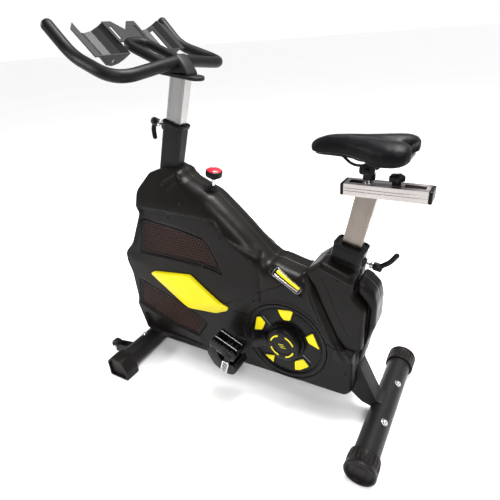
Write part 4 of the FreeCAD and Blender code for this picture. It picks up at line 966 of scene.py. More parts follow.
def seat_tower():
    """Seat tower halves, the rear cover behind them, and a screw on each side."""
    for side, word in SIDES:
        piece = side_shell("tower_" + word, TOWER_CURVE, (350, 430), tower_depth, side, rows=60)
        place(piece, "frame", "cover_plastic", COVER, "tower_cover")
        piece = side_shell("rear_cover_" + word, REAR_CURVE, (438, 460), rear_cover_depth, side, rows=40, wall=2.0)
        place(piece, "frame", "cover_plastic", COVER, "rear_cover")
        origin = (351, side * 65, 519)
        head = [(0.01, -1.5), (1.4, 0.2), (2.2, 1.5), (3.4, 1.2), (4.3, 0.2), (4.6, -3)]
        screw = turned("tower_screw_" + word, head, origin, Y * side, 20, lobes=4, lobe_depth=0.06)
        place(screw, "frame", "hard_black", HARD_BLACK, "shroud_screws")


# ---------------------------------------------------------------- leaning sleeves, collars and levers

def lean_frame(slide_joint, lever_joint, across, down):
    """Top centre of a sleeve and its axes: across the broad way, along Y and up the post."""
    up = joint_axis(slide_joint)
    broad = np.cross(Y, up)
    return joint_point(lever_joint) - across * broad + down * up, (broad, Y, up)


FRONT_TOP, FRONT_AXES = lean_frame("handlebar_height", "post_lever_turn", -75, 14)
SEAT_TOP, SEAT_AXES = lean_frame("seat_height", "seat_lever_turn", 78, 18)
POST_HALF = (27.2, 15.2)


def sleeves_and_collars():
    """Steel sleeves with rounded corners, and plastic collars with a thin brim on top of them."""
    rows = (
        ("head", FRONT_TOP, FRONT_AXES, (35, 23), 282, "head_tube", "post_collar", (-38.5, 38.5, 26.5, 12)),
        ("seat", SEAT_TOP, SEAT_AXES, (38, 24), 300, "seat_tube", "seat_collar", (-48, 42, 32, 24)),
    )
    for word, top, axes, half, length, tube_node, collar_node, rim in rows:
        outer = rounded_box(half[0], half[1], 9)
        inner = rounded_box(half[0] - 3, half[1] - 3, 6)
        sleeve = pipe(word + "_sleeve", outer, inner, top, axes, -length, 0, 0.8)
        place(sleeve, "frame", "frame_steel", FRAME_STEEL, tube_node)
        middle = (rim[0] + rim[1]) / 2
        shift = top + axes[0] * middle
        rim_outer = rounded_box((rim[1] - rim[0]) / 2, rim[2], 12)
        hole = rounded_box(POST_HALF[0], POST_HALF[1], 2)
        hole[:, 0] -= middle
        foot = -24 if word == "seat" else 0.2
        lip = pipe(word + "_collar_rim", rim_outer, hole, shift, axes, foot, rim[3] - 5, 1.2)
        place(lip, "frame", "hard_black", HARD_BLACK, collar_node)
        brim_inner = rounded_box((rim[1] - rim[0]) / 2 - 5, rim[2] - 5, 8)
        brim_outer = rounded_box((rim[1] - rim[0]) / 2 + 1.2, rim[2] + 1.2, 13)
        brim = pipe(word + "_collar_brim", brim_outer, brim_inner, shift, axes, rim[3] - 8, rim[3], 2.4)
        place(brim, "frame", "hard_black", HARD_BLACK, collar_node)


def levers():
    """Clamp levers: bossed socket, threaded stud, domed hub and a bent handle with a ball end."""
    rows = (
        ("post_lever", FRONT_TOP, FRONT_AXES, -1, 35, -14.0, "head_tube"),
        ("seat_lever", SEAT_TOP, SEAT_AXES, 1, 38, -18.0, "seat_tube"),
    )
    for node, top, axes, way, half, drop, tube_node in rows:
        centre = top + axes[2] * drop
        out = axes[0] * way
        boss = [(5.6, half - 2), (13.5, half - 2), (13.5, half + 8), (12, half + 11.5), (8, half + 12),
                (5.6, half + 12)]
        piece = turned(node + "_boss", boss, centre, out, 40)
        place(piece, "frame", "frame_steel", FRAME_STEEL, tube_node)
        heights = np.linspace(28, half + 27, 46)
        threads = np.stack([4.0 + 0.45 * np.cos(np.arange(46) * np.pi), heights], axis=1)
        threads = np.vstack([[(0.01, 27.6)], threads])
        stud = turned(node + "_stud", threads, centre, out, 24, sharp=20)
        place(stud, node, "bright_steel", BRIGHT_STEEL, node)
        nut = [(4, half + 22), (9, half + 22), (10, half + 23.5), (10, half + 30), (9, half + 31), (4, half + 31)]
        place(turned(node + "_collar", nut, centre, out, 36), node, "bright_steel", BRIGHT_STEEL, node)
        hub = [(6, half + 31), (11, half + 32), (12, half + 35), (12, half + 52), (10, half + 56), (5, half + 57.5),
               (0.01, half + 58)]
        place(turned(node + "_hub", hub, centre, out, 40), node, "hard_black", HARD_BLACK, node)
        low, high = node_box(node)
        start = centre + out * (half + 46)
        tip = centre + out * (half + 62) - axes[2] * 48
        if way > 0:
            tip = np.array([high[0] - 8, 0.0, high[2] - 8])
        else:
            tip = np.array([low[0] + 9, 0.0, low[2] + 9])
        middle = start * 0.5 + tip * 0.5 + out * 7
        path = spread(rounded([start, middle, tip], 30, 10, closed=False), 24, closed=False)
        place(tube(node + "_handle", path, 7.4, 20, 0.9), node, "hard_black", HARD_BLACK, node)


# ---------------------------------------------------------------- base

FOOT_Z = 47.0


def node_centre_x(node):
    """Middle of a CAD node along the bike, in millimetres."""
    low, high = node_box(node)
    return (low[0] + high[0]) / 2


def base_frame():
    """Rear leg with rolled edges, foot tubes, end caps, bolts and transport wheels."""
    leg = [(240, 118), (372, 118), (432, 66), (470, 58), (520, 58), (500, 86), (477, 90), (421, 206), (405, 222),
           (392, 166), (240, 166)]
    half = node_box("rear_leg")[1][1]
    piece = prism("leg_plate", spread(rounded(leg, 8, 5), 160), (0, 0, 0), SIDE_AXES, -half, half, 3.5)
    place(piece, "frame", "frame_steel", FRAME_STEEL, "rear_leg")
    for word in ("front", "rear"):
        x = node_centre_x(word + "_stabiliser")
        tube_profile = [(37.5, -240), (37.5, 240)]
        body = turned(word + "_foot_tube", [(34, -240), *tube_profile, (34, 240)], (x, 0, FOOT_Z), Y, 96)
        place(body, "frame", "frame_steel", FRAME_STEEL, word + "_stabiliser")
        for side, hand in SIDES:
            tilt = math.radians(35 if x > 0 else -20)
            out = np.array([math.sin(tilt), 0, math.cos(tilt)])
            seat = np.array([x, side * 87.0, FOOT_Z]) + out * 37.2
            dome = [(0.01, 8.2), (3, 7.9), (6, 6.4), (8, 3.6), (8.6, 1.6), (9, 1.4), (11.5, 1.2), (12, 0.4), (12, -1)]
            bolt = turned(f"{word}_bolt_{hand}", dome, seat, out, 32)
            place(bolt, "frame", "bright_steel", BRIGHT_STEEL, "stabiliser_bolts")
    x = node_centre_x("rear_stabiliser")
    for side, hand in SIDES:
        barrel = [(37.6, 203), (43, 203), (45, 204.5), (45.6, 207), (45.6, 212), (44.9, 214.5), (44.9, 243),
                  (45.6, 245.5), (45.6, 250), (46.6, 252), (46.8, 259), (45, 262.3), (42, 262.8), (39, 261),
                  (37.5, 256), (36, 254.6), (20, 254.2), (18, 255.4), (16, 254.2), (0.01, 254)]
        cap = turned("rear_cap_" + hand, barrel, (x, 0, FOOT_Z), Y * side, 144)
        place(cap, "frame", "foot_rubber", FOOT_RUBBER, "foot_caps")
        angle = np.radians(np.arange(24) * 15.0)
        for number, turn in enumerate(angle):
            rib_line = [(43.6, 214), (44.8, 217), (44.8, 241), (43.6, 244)]
            centre = np.array([[x + r * math.cos(turn), side * y, FOOT_Z + r * math.sin(turn)] for r, y in rib_line])
            rib = tube(f"rear_cap_rib_{number}_{hand}", spread(centre, 8, closed=False), 2.2, 8)
            place(rib, "frame", "foot_rubber", FOOT_RUBBER, "foot_caps")
    x = node_centre_x("front_stabiliser")
    hexagon = np.array([(-46, -46.6), (46, -46.6), (49, -8), (30, 40), (-22, 43), (-47, 18)]) + (x, FOOT_Z)
    curve = spread(rounded(hexagon, 7, 6), 140)
    for side, hand in SIDES:
        levels = [(side * y, inset) for y, inset in
                  ((200, 2.5), (200.8, 1), (202.5, 0), (257.5, 0), (259.4, 0.8), (260, 2.4), (260, 6), (252, 7))]
        cap = skin("front_cap_" + hand, stacked(curve, (0, 0, 0), SIDE_AXES, levels), sharp=40)
        place(cap, "frame", "foot_rubber", FOOT_RUBBER, "foot_caps")
        pin = joint_point(f"wheel_{hand}_spin")
        tyre = [(10, -9.5), (19, -9.5), (20, -10.8), (25, -11), (27, -9), (27.3, 0), (27, 9), (25, 11), (20, 10.8),
                (19, 8), (10, 7.5), (9.5, 10), (4.2, 10), (4.2, -9.5)]
        wheel = turned("transport_tyre_" + hand, tyre, pin, Y * side, 64)
        place(wheel, "wheel_" + hand, "hard_black", HARD_BLACK, "transport_wheel_" + hand)
        hub = [(4.1, 16.6), (8.5, 16.8), (9.6, 17.6), (9.4, 19.6), (7, 21.4), (3, 22), (0.01, 22.1)]
        cover = turned("transport_hub_" + hand, hub, pin, Y * side, 32)
        place(cover, "wheel_" + hand, "bright_steel", BRIGHT_STEEL, "transport_wheel_" + hand)


# ---------------------------------------------------------------- cranks and pedals

def crank_arms():
    """Forged arms: rings of a rounded box whose height follows two round eyes and whose centre steps outwards."""
    for side, word in SIDES:
        pedal = joint_point(f"pedal_{word}_spin")
        run = pedal - CRANK
        run[1] = 0
        length = np.linalg.norm(run)
        run /= length
        tall = np.cross(Y, run)
        s = np.r_[np.linspace(-18.9, -10, 14), np.linspace(-8, length + 4, 56),
                  np.linspace(length + 6, length + 14.4, 14)]
        start_eye = np.sqrt(np.maximum(19.0 ** 2 - s ** 2, 0))
        end_eye = np.sqrt(np.maximum(14.5 ** 2 - (s - length) ** 2, 0))
        bar = np.where((s > -6) & (s < length + 4), 15 - 2.5 * s / length, 0)
        height = np.maximum(np.maximum(start_eye, end_eye), np.maximum(bar, 1.0))
        out = 87 + 16.5 * smooth((s - 58) / 50)
        section = rounded_box(1.0, 1.0, 0.42, 7)
        centre = CRANK * (1, 0, 1) + run * s[:, None] + Y * side * out[:, None]
        rings = centre[:, None] + section[None, :, :1] * height[:, None, None] * tall \
            + section[None, :, 1:] * 6.8 * Y
        piece = skin("arm_" + word, rings, sharp=40)
        place(piece, "crank", "frame_steel", FRAME_STEEL, "crank_arm_" + word)
        head = [(0.01, 116.2), (3, 116), (4, 115.6), (7.5, 115.2), (8.6, 113.6), (8.6, 109)]
        pin = turned("pedal_pin_end_" + word, [(r, h - 4.5) for r, h in head], (pedal[0], 0, pedal[2]), Y * side, 32)
        place(pin, "crank", "bright_steel", BRIGHT_STEEL, "crank_arm_" + word)


PEDAL_MIDDLE = 147.5


def pedal_plate(name, side, y, centre, axes):
    """Toothed side plate of a pedal: its outline has nine square teeth along the top."""
    teeth = []
    for tooth in range(10):
        start = -61.0 + 10.6 * tooth
        teeth += [(start, 20), (start + 0.8, 26), (start + 5.2, 26), (start + 6, 20)]
    outline = [(-63, 14), *teeth[:-2], (37, 18), (39, 8), (36, -6), (26, -9), (-50, -9), (-61, -4)]
    profile = rounded(outline, 1.2, 3)
    return prism(name, profile, centre, axes, side * y - 2.2, side * y + 2.2, 0.8)


def pedals():
    """Platforms with toothed plates, rails, cross bars and a barrel, and cages with a buckled strap."""
    tilt = math.radians(23)
    axes = ((math.cos(tilt), 0, -math.sin(tilt)), (math.sin(tilt), 0, math.cos(tilt)), (0, 1, 0))
    first, second = np.array(axes[0]), np.array(axes[1])
    for side, word in SIDES:
        body, node, cage_node = "pedal_" + word, "pedal_" + word, "toe_cage_" + word
        pin = joint_point(body + "_spin") * (1, 0, 1)
        for number, y in enumerate((117.3, 131.5, 163.5, 177.6)):
            plate = pedal_plate(f"pedal_plate_{number}_{word}", side, y, pin, axes)
            place(plate, body, "hard_black", HARD_BLACK, node)
            outer_plate = abs(y - PEDAL_MIDDLE) > 20
            line = [(-60, -7.5), (-50, -11.5), (26, -11.5), (36, -8)] if outer_plate else [(-56, 27), (30, 27)]
            path = np.array([pin + first * a + second * b + Y * side * y for a, b in line])
            rail = tube(f"pedal_rail_{number}_{word}", spread(path, 24, closed=False), 1.9, 12)
            place(rail, body, "cast_wheel", CAST_IRON, node)
        for number, (a, b, wide, tall) in enumerate(((-57, 3, 5, 9), (-14, 12, 4, 4), (17, 12, 4, 4), (33, 3, 5, 9))):
            bar = prism(f"pedal_bar_{number}_{word}", rounded_box(wide, tall, 2), pin + first * a + second * b, axes,
                        side * PEDAL_MIDDLE - 31, side * PEDAL_MIDDLE + 31, 0.8)
            place(bar, body, "hard_black", HARD_BLACK, node)
        barrel = [(7.2, 115), (12, 115), (13.5, 117), (13.5, 128), (12, 131), (12, 164), (13.5, 167), (13.5, 178),
                  (12, 181), (9, 181.6), (8.4, 180.6), (0.01, 180.4)]
        place(turned("pedal_barrel_" + word, barrel, pin, Y * side, 40), body, "hard_black", HARD_BLACK, node)
        band = [(-62, 16), (-72, -18), (-48, -62), (-6, -83), (22, -82), (42, -56), (36, -30)]
        line = spread(rounded(band, 16, 8, closed=False), 60, closed=False) + pin[[0, 2]]
        strip = ribbon("cage_band_" + word, line, rounded_box(1.7, 32, 1.2, 4), side * PEDAL_MIDDLE)
        place(strip, body, "hard_black", HARD_BLACK, cage_node)
        cheek = [(-60, 12), (-70, -18), (-47, -60), (-6, -81), (20, -80), (40, -55), (30, -38), (-6, -48), (-24, -24),
                 (-34, 6)]
        for number, y in enumerate((116.8, 178.2)):
            outline = spread(rounded(np.array(cheek) + pin[[0, 2]], 8, 5), 120)
            wall = prism(f"cage_cheek_{number}_{word}", outline, (0, 0, 0), SIDE_AXES, side * y - 1.5, side * y + 1.5,
                         0.9)
            place(wall, body, "hard_black", HARD_BLACK, cage_node)
        strap = np.array([(12, -4), (7, -24), (-1, -50), (-9, -78)]) + pin[[0, 2]]
        line = spread(rounded(strap, 14, 6, closed=False), 30, closed=False)
        belt = ribbon("cage_strap_" + word, line, rounded_box(10.5, 1.2, 0.8, 4), side * 181.2)
        place(belt, body, "belt_rubber", BELT_RUBBER, cage_node)
        outer = np.array([(-7, -28), (13.5, -34), (0, -78), (-20.5, -72)]) + pin[[0, 2]]
        ladder = spread(rounded(outer, 5, 5), 70)
        rail = ribbon("cage_buckle_" + word, ladder, rounded_box(1.9, 1.9, 1.2, 4), side * 184.0, closed=True)
        place(rail, body, "bright_steel", BRIGHT_STEEL, cage_node)
        for number in range(5):
            share = (number + 0.8) / 5.6
            left = outer[0] * (1 - share) + outer[3] * share
            right = outer[1] * (1 - share) + outer[2] * share
            rung = ribbon(f"cage_buckle_rung_{number}_{word}", spread([left, right], 8, closed=False),
                          rounded_box(1.9, 1.6, 1.1, 4), side * 184.0)
            place(rung, body, "bright_steel", BRIGHT_STEEL, cage_node)


# ---------------------------------------------------------------- brake knob

def brake_knob():
    """Red disc in a tall black skirt with finger flutes, and the rubber ring in the cover."""
    axis, origin = joint_axis("brake_knob_turn"), joint_point("brake_knob_turn")
    cap = [(12, 60), (22.4, 60), (22.8, 63.4), (21, 65.6), (17, 67.2), (15.6, 66.4), (14, 67.4), (7, 68.6), (0.01, 69)]
    place(turned("knob_cap", cap, origin, axis, 96, lobes=16, lobe_depth=0.012), "brake_knob", "knob_red", RED,
          "brake_knob")
    skirt = [(6.1, 36), (11, 36), (12, 38), (12, 43), (15, 44), (23.5, 43.5), (25.4, 45.5), (26.4, 50), (26.4, 59),
             (25.4, 62.4), (23.6, 63.4), (22.9, 62.4), (12, 62)]
    place(turned("knob_skirt", skirt, origin, axis, 96, lobes=16, lobe_depth=0.012), "brake_knob", "hard_black",
          HARD_BLACK, "brake_knob")
    ring = [(7.6, -12), (14, -12), (14, 4), (13.4, 7), (11, 8.4), (9.5, 9), (9.2, 12), (8.6, 13), (7.6, 13)]
    place(turned("knob_ring", ring, origin, axis, 48), "frame", "belt_rubber", BELT_RUBBER, "knob_grommet")


# ---------------------------------------------------------------- cockpit

def bar_corner_reach(points, radii):
    """Set-back of each bend's tangent points: the bend radius times the tangent of half the turn."""
    points = np.asarray(points, float)
    legs = np.diff(points, axis=0)
    legs /= np.linalg.norm(legs, axis=1, keepdims=True)
    turn = np.arccos(np.clip((legs[:-1] * legs[1:]).sum(1), -1, 1))
    return np.r_[0.0, np.asarray(radii) * np.tan(turn / 2), 0.0]


def handlebars():
    """Outer bar with two forward horns, the narrow inner loop, and a plug in each horn's end."""
    right = [(-380, 222, 1196), (-312, 220, 1120), (-153.5, 241, 1061), (-143, 0, 1086)]
    outer = right + [(x, -y, z) for x, y, z in right[2::-1]]
    reach = bar_corner_reach(outer, [150, 64, 400, 64, 150])
    path = spread(rounded(outer, reach, 14, closed=False), 220, closed=False)
    place(tube("outer_bar", path, 16.5, 32, 0.35), "handlebar", "grip_foam", GRIP_FOAM, "handlebar")
    loop = [(-158, 40, 1077), (-305, 40, 1141), (-305, -40, 1141), (-158, -40, 1077)]
    reach = bar_corner_reach(loop, [38, 38])
    path = spread(rounded(loop, reach, 14, closed=False), 110, closed=False)
    place(tube("inner_loop", path, 14.0, 28, 0.2), "handlebar", "grip_foam", GRIP_FOAM, "handlebar")
    for side, word in SIDES:
        tip, back = np.array([-380, side * 222.0, 1196]), np.array([-312, side * 220.0, 1120])
        out = (tip - back) / np.linalg.norm(tip - back)
        plug = [(0.01, 6.6), (9, 6.4), (13.5, 5), (15.4, 2), (15.8, -3), (14, -3)]
        cap = turned("bar_plug_" + word, plug, tip + out * 1.2, out, 36)
        place(cap, "handlebar", "hard_black", HARD_BLACK, "handlebar")


def stem():
    """Base plate with a rounded tongue and two screws at its front, and the broad upright that holds the bar."""
    tilt = math.radians(10)
    axes = ((math.cos(tilt), 0, -math.sin(tilt)), (0, 1, 0), (math.sin(tilt), 0, math.cos(tilt)))
    origin = np.array([-148.0, 0.0, 1046.0])
    bend = np.linspace(-np.pi / 2, np.pi / 2, 15)
    tongue = np.stack([50 + 27 * np.cos(bend), 27 * np.sin(bend)], axis=1)
    back = rounded([(-20, 27), (-60, 27), (-60, -27), (-20, -27)], 9, 6, closed=False)
    outline = spread(np.vstack([tongue, back]), 150)
    plate = prism("stem_plate", outline, origin, axes, -2, 8, 2.4)
    place(plate, "handlebar", "frame_steel", FRAME_STEEL, "handlebar_stem")
    upright = [(-200, 1056), (-168, 1092), (-150, 1103), (-136, 1103), (-116, 1080), (-98, 1044), (-196, 1050)]
    rib = prism("stem_upright", spread(rounded(upright, 14, 7), 120), (0, 0, 0), SIDE_AXES, -24, 24, 9)
    place(rib, "handlebar", "frame_steel", FRAME_STEEL, "handlebar_stem")
    screw = [(0.01, 9), (3, 9), (4.2, 10.6), (7.6, 10.4), (8.6, 9), (8.6, 6)]
    for number, (a, b) in enumerate(((-46, 19), (-46, -19))):
        spot = origin + np.array(axes[0]) * a + Y * b
        head = turned(f"stem_screw_{number}", screw, spot, axes[2], 24)
        place(head, "handlebar", "bright_steel", BRIGHT_STEEL, "handlebar_stem")


# ---------------------------------------------------------------- seat

def seat_slider():
    """Beam end caps with rounded faces, beads along the beam, and the five-lobed clamping knob."""
    low, high = node_box("seat_slider")
    middle_z = (low[2] + high[2]) / 2
    axes = ((0, 1, 0), (0, 0, 1), (1, 0, 0))
    half_z = (high[2] - low[2]) / 2 + 0.6
    face = rounded_box(27.6, half_z, 4)
    for word, x, way in (("front", low[0], -1), ("rear", high[0], 1)):
        cap = prism("beam_cap_" + word, face, (x, 0, middle_z), axes, min(0, way * 9.0), max(0, way * 9.0), 2.5)
        place(cap, "seat_mast", "hard_black", HARD_BLACK, "slider_caps")
    bead = rounded_box(1.0, 1.3, 0.9, 4)
    for side, word in SIDES:
        for number, height in enumerate((-3.5, 3.5)):
            centre = (0, side * (high[1] + 0.2), middle_z + height)
            strip = prism(f"beam_bead_{number}_{word}", bead, centre, axes, low[0] + 1, high[0] - 1, 0.4)
            place(strip, "seat_mast", "extrusion", BEAM_EXTRUSION)
    knob = joint_point("slider_knob_turn") * (1, 1, 0)
    top = high[2]
    grip = [(0.01, top + 27), (6, top + 27), (8, top + 26), (11, top + 26.4), (15, top + 25.6), (17.6, top + 23),
            (17.8, top + 14), (16.6, top + 11), (12, top + 10), (10, top + 8), (9.6, top + 0.8), (5, top + 0.8)]
    piece = turned("slider_star", grip, knob, (0, 0, 1), 80, lobes=5, lobe_depth=0.13)
    place(piece, "slider_knob", "hard_black", HARD_BLACK, "slider_knob")


def saddle_hardware():
    """Bent rails, the clamp's cheeks, bolt and cup, and the bright stem with the strip it slides on."""
    pivot = joint_point("saddle_tilt")
    for side, word in SIDES:
        rail = [(330, side * 9, 859), (368, side * 22, 834), (440, side * 22, 834), (474, side * 34, 860)]
        path = spread(rounded(rail, 16, 10, closed=False), 60, closed=False)
        place(tube("saddle_rail_" + word, path, 3.6, 16, 0.5), "saddle", "hard_black", HARD_BLACK, "saddle_rails")
        cheek = rounded([(-18, -9), (18, -9), (20, 6), (14, 17), (-14, 17), (-20, 6)], 6, 5)
        low, high = sorted((side * 17.5, side * 27.0))
        plate = prism("clamp_cheek_" + word, spread(cheek, 60) + pivot[[0, 2]], (0, 0, 0), SIDE_AXES, low, high, 1.6)
        place(plate, "saddle", "hard_black", HARD_BLACK, "saddle_rails")
        nut = [(0.01, 36), (5, 36), (7.5, 35), (8, 33), (8, 28), (11, 27.6), (11, 26.6)]
        head = turned("clamp_nut_" + word, nut, pivot * (1, 0, 1), Y * side, 6)
        place(head, "saddle", "hard_black", HARD_BLACK, "saddle_rails")
    slider_top = node_box("seat_slider")[1][2]
    stem_x = pivot[0]
    post = [(11, slider_top - 16), (11, slider_top + 6), (11.6, slider_top + 7), (11.6, slider_top + 9),
            (11, slider_top + 10), (11, slider_top + 21), (0.01, slider_top + 22)]
    place(turned("saddle_stem", post, (stem_x, 0, 0), (0, 0, 1), 48), "saddle_carriage", "bright_steel", BRIGHT_STEEL,
          "saddle_carriage")
    strip = rounded_box(50.3, 11.2, 2)
    rider = prism("carriage_strip", strip, (stem_x + 36, 0, 0), ((1, 0, 0), (0, 1, 0), (0, 0, 1)),
                  slider_top - 12, slider_top + 0.4, 0.5)
    place(rider, "saddle_carriage", "extrusion", BEAM_EXTRUSION, "saddle_carriage")
    head = [(12, 8), (15, 9), (15.6, 11), (15.6, 24), (14, 26), (0.01, 26.5)]
    cup = turned("clamp_cup", [(r, h + slider_top) for r, h in head], (stem_x, 0, 0), (0, 0, 1), 48)
    place(cup, "saddle_carriage", "hard_black", HARD_BLACK, "saddle_clamp")
    barrel = [(0.01, -17), (9, -17), (10.5, -15.6), (10.5, 15.6), (9, 17), (0.01, 17)]
    place(turned("clamp_barrel", barrel, pivot * (1, 0, 1), Y, 40), "saddle_carriage", "hard_black", HARD_BLACK,
          "saddle_clamp")


SADDLE_X = [250, 256, 268, 284, 310, 350, 390, 425, 455, 480, 500, 511]
SADDLE_HALF = [10, 18, 24, 27, 30, 38, 55, 76, 88, 90, 84, 66]
SADDLE_TOP = [878, 886, 892, 896, 900, 902, 901, 901, 902, 903, 901, 893]
SADDLE_LOW = [862, 852, 848, 848, 849, 849, 842, 832, 831, 833, 840, 852]


def saddle_rings(shrink):
    """Rings of the cushion along X: soft box sections that hang lower at the wings, with a valley along the top.

    The valley opens out between the wings and the rear edge is drawn forward there. The section's exponent makes it
    fuller than an ellipse; the shrink pulls every ring towards its middle.
    """
    x = np.unique(np.r_[250.5, 252, 254, np.linspace(257, 505, 64), 507.5, 509.5, 510.5])
    half = np.interp(x, SADDLE_X, SADDLE_HALF) - shrink
    top = np.interp(x, SADDLE_X, SADDLE_TOP) - shrink
    low = np.interp(x, SADDLE_X, SADDLE_LOW) + shrink
    angle = np.linspace(0, 2 * np.pi, 96, endpoint=False)
    c, s = np.cos(angle), np.sin(angle)
    wide = np.sign(c) * np.abs(c) ** 0.8
    tall = np.sign(s) * np.abs(s) ** 0.72
    middle, reach = (top + low) / 2, (top - low) / 2
    y = half[:, None] * wide
    z = middle[:, None] + reach[:, None] * tall
    wing = smooth((np.abs(y) - 0.55 * half[:, None]) / (0.35 * half[:, None] + 1))
    lift = np.maximum(858 - low, 0)[:, None] * (1 - wing)
    z = np.where(tall < 0, z - tall * lift, z)
    rear = smooth((x - 400) / 100)[:, None]
    valley = (3.5 + 15 * rear) * np.exp(-(y / (12 + 16 * rear)) ** 2) * smooth((x - 320) / 60)[:, None]
    z = np.where(tall > 0, z - valley * tall, z)
    notch = 24 * smooth((x - 470) / 45)[:, None] * np.exp(-(y / 24) ** 2)
    return np.stack([x[:, None] - notch, y, z], axis=-1)


MOST_SWELL = 0.0035


def swell(piece, frames=20, cell=0.005, pressure=4.0):
    """Fills a closed shape like foam under a cover: even remesh, then cloth with inner pressure and no gravity."""
    remesh = piece.modifiers.new("Even cells", "REMESH")
    remesh.mode, remesh.voxel_size = "VOXEL", cell
    depsgraph = bpy.context.evaluated_depsgraph_get()
    even = bpy.data.meshes.new_from_object(piece.evaluated_get(depsgraph))
    piece.modifiers.clear()
    before = np.empty(len(even.vertices) * 3)
    even.vertices.foreach_get("co", before)
    piece.data = even
    cloth = piece.modifiers.new("Cover cloth", "CLOTH")
    cloth.settings.quality = 6
    cloth.settings.use_pressure = True
    cloth.settings.uniform_pressure_force = pressure
    cloth.settings.effector_weights.gravity = 0.0
    cloth.settings.tension_stiffness = 25.0
    cloth.settings.compression_stiffness = 25.0
    cloth.settings.bending_stiffness = 2.0
    cloth.point_cache.frame_start, cloth.point_cache.frame_end = 1, frames
    scene = bpy.context.scene
    for number in range(1, frames + 1):
        scene.frame_set(number)
    depsgraph = bpy.context.evaluated_depsgraph_get()
    puffed = bpy.data.meshes.new_from_object(piece.evaluated_get(depsgraph))
    after = np.empty(len(puffed.vertices) * 3)
    puffed.vertices.foreach_get("co", after)
    scene.frame_set(1)
    piece.modifiers.clear()
    move = (after - before).reshape(-1, 3)
    length = np.linalg.norm(move, axis=1, keepdims=True)
    move *= np.minimum(1.0, MOST_SWELL / np.maximum(length, 1e-9))
    puffed.vertices.foreach_set("co", (before.reshape(-1, 3) + move).ravel())
    puffed.update()
    piece.data = puffed
    piece.data.shade_smooth()


def on_surface(piece, line):
    """Nearest points of a piece's surface to the points of a line, in millimetres."""
    tree = BVHTree.FromPolygons([v.co for v in piece.data.vertices], [p.vertices for p in piece.data.polygons])
    return np.array([tree.find_nearest(Vector(point * MM))[0] for point in line]) / MM


def saddle():
    """Foam cushion swollen under its cover, with a thin raised hem low on each side."""
    cushion = skin("saddle_cushion_cover", saddle_rings(2.0), sharp=180)
    place(cushion, "saddle", "saddle_skin", LEATHERETTE, "saddle_cushion")
    swell(cushion)
    cushion.data.materials.clear()
    cushion.data.materials.append(LEATHERETTE)
    finer = cushion.modifiers.new("Smooth cover", "SUBSURF")
    finer.levels = finer.render_levels = 1
    x = np.linspace(270, 500, 60)
    half = np.interp(x, SADDLE_X, SADDLE_HALF)
    level = np.interp(x, SADDLE_X, SADDLE_LOW) * 0.8 + np.interp(x, SADDLE_X, SADDLE_TOP) * 0.2
    for side, word in SIDES:
        guess = np.stack([x, side * (half + 4), level], axis=1)
        seam = on_surface(cushion, guess)
        piece = tube("saddle_hem_" + word, seam, 0.7, 8)
        place(piece, "saddle", "saddle_skin", LEATHERETTE, "saddle_cushion")


# ---------------------------------------------------------------- camera, floor and light

def sky_light():
    """Sky that is white at the horizon and below it, and grey higher up."""
    world = bpy.data.worlds.new("studio_sky")
    world.use_nodes = True
    tree = world.node_tree
    tree.nodes.clear()
    output = tree.nodes.new("ShaderNodeOutputWorld")
    output.label, output.location = "Sky out", (600, 0)
    shade = tree.nodes.new("ShaderNodeBackground")
    shade.label, shade.location = "Sky light", (400, 0)
    way = tree.nodes.new("ShaderNodeTexCoord")
    way.label, way.location = "Direction", (-400, 0)
    part = tree.nodes.new("ShaderNodeSeparateXYZ")
    part.label, part.location = "Height of the direction", (-200, 0)
    ramp = tree.nodes.new("ShaderNodeValToRGB")
    ramp.label, ramp.location = "White horizon", (0, 0)
    ramp.color_ramp.elements[0].position = 0.12
    ramp.color_ramp.elements[0].color = (1, 1, 1, 1)
    ramp.color_ramp.elements[1].position = 0.3
    ramp.color_ramp.elements[1].color = (0.2, 0.2, 0.21, 1)
    tree.links.new(way.outputs["Generated"], part.inputs["Vector"])
    tree.links.new(part.outputs["Z"], ramp.inputs["Fac"])
    tree.links.new(ramp.outputs["Color"], shade.inputs["Color"])
    tree.links.new(shade.outputs["Background"], output.inputs["Surface"])
    bpy.context.scene.world = world


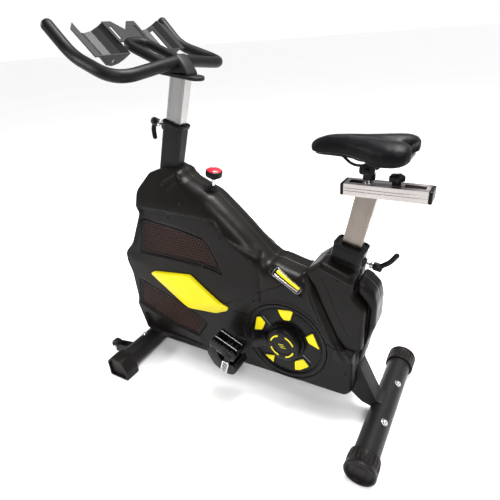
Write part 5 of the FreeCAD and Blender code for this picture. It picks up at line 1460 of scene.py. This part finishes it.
def studio():
    """Camera at the wanted viewing angle, a pale floor, a wide overhead light, three area lights and a pale sky."""
    azimuth, pitch, roll = math.radians(32.21), math.radians(27.1), math.radians(-4.56)
    back = Vector((math.sin(azimuth) * math.cos(pitch), -math.cos(azimuth) * math.cos(pitch), math.sin(pitch)))
    right = Vector((0, 0, 1)).cross(back).normalized()
    up = back.cross(right)
    tilted_right = math.cos(roll) * right + math.sin(roll) * up
    tilted_up = -math.sin(roll) * right + math.cos(roll) * up
    camera = bpy.data.objects.new("camera", bpy.data.cameras.new("camera"))
    camera.data.lens, camera.data.sensor_width = 30.0, 36.0
    turn = Matrix((tilted_right, tilted_up, back)).transposed().to_4x4()
    camera.matrix_world = Matrix.Translation(Vector((0.6732, -1.0087, 1.1329))) @ turn
    bpy.context.scene.collection.objects.link(camera)
    bpy.context.scene.camera = camera

    floor_mesh = bpy.data.meshes.new("floor")
    reach, level = 90, -0.0005
    corners = [(-reach, -reach, level), (reach, -reach, level), (reach, reach, level), (-reach, reach, level)]
    floor_mesh.from_pydata(corners, [], [(0, 1, 2, 3)])
    floor = bpy.data.objects.new("floor", floor_mesh)
    bpy.context.scene.collection.objects.link(floor)
    floor_mesh.materials.append(floor_material())

    sky_light()
    sun = bpy.data.lights.new("light_overhead", "SUN")
    sun.energy, sun.angle = 3.0, math.radians(75)
    lamp = bpy.data.objects.new("light_overhead", sun)
    lamp.rotation_euler = Vector((-0.35, -0.3, -1.0)).to_track_quat("-Z", "Y").to_euler()
    bpy.context.scene.collection.objects.link(lamp)
    aims = (("key", (1.4, -2.2, 2.6), 60.0, 0.8), ("side", (-2.4, -0.8, 1.9), 45.0, 0.8),
            ("back", (0.5, 0.4, 2.9), 190.0, 1.0))
    for name, spot, power, size in aims:
        light = bpy.data.lights.new("light_" + name, "AREA")
        light.shape, light.size, light.energy = "SQUARE", size, power
        lamp = bpy.data.objects.new("light_" + name, light)
        lamp.location = spot
        aim = Vector((0, 0, 0.5)) - lamp.location
        lamp.rotation_euler = aim.to_track_quat("-Z", "Y").to_euler()
        bpy.context.scene.collection.objects.link(lamp)


bpy.context.scene.view_settings.view_transform = "Standard"
studio()
paint_frame_nodes()
body_covers()
badges()
vents()
reflectors()
crank_rings()
hub_caps()
cover_screws()
seat_tower()
sleeves_and_collars()
levers()
base_frame()
crank_arms()
pedals()
brake_knob()
handlebars()
stem()
seat_slider()
saddle_hardware()
saddle()
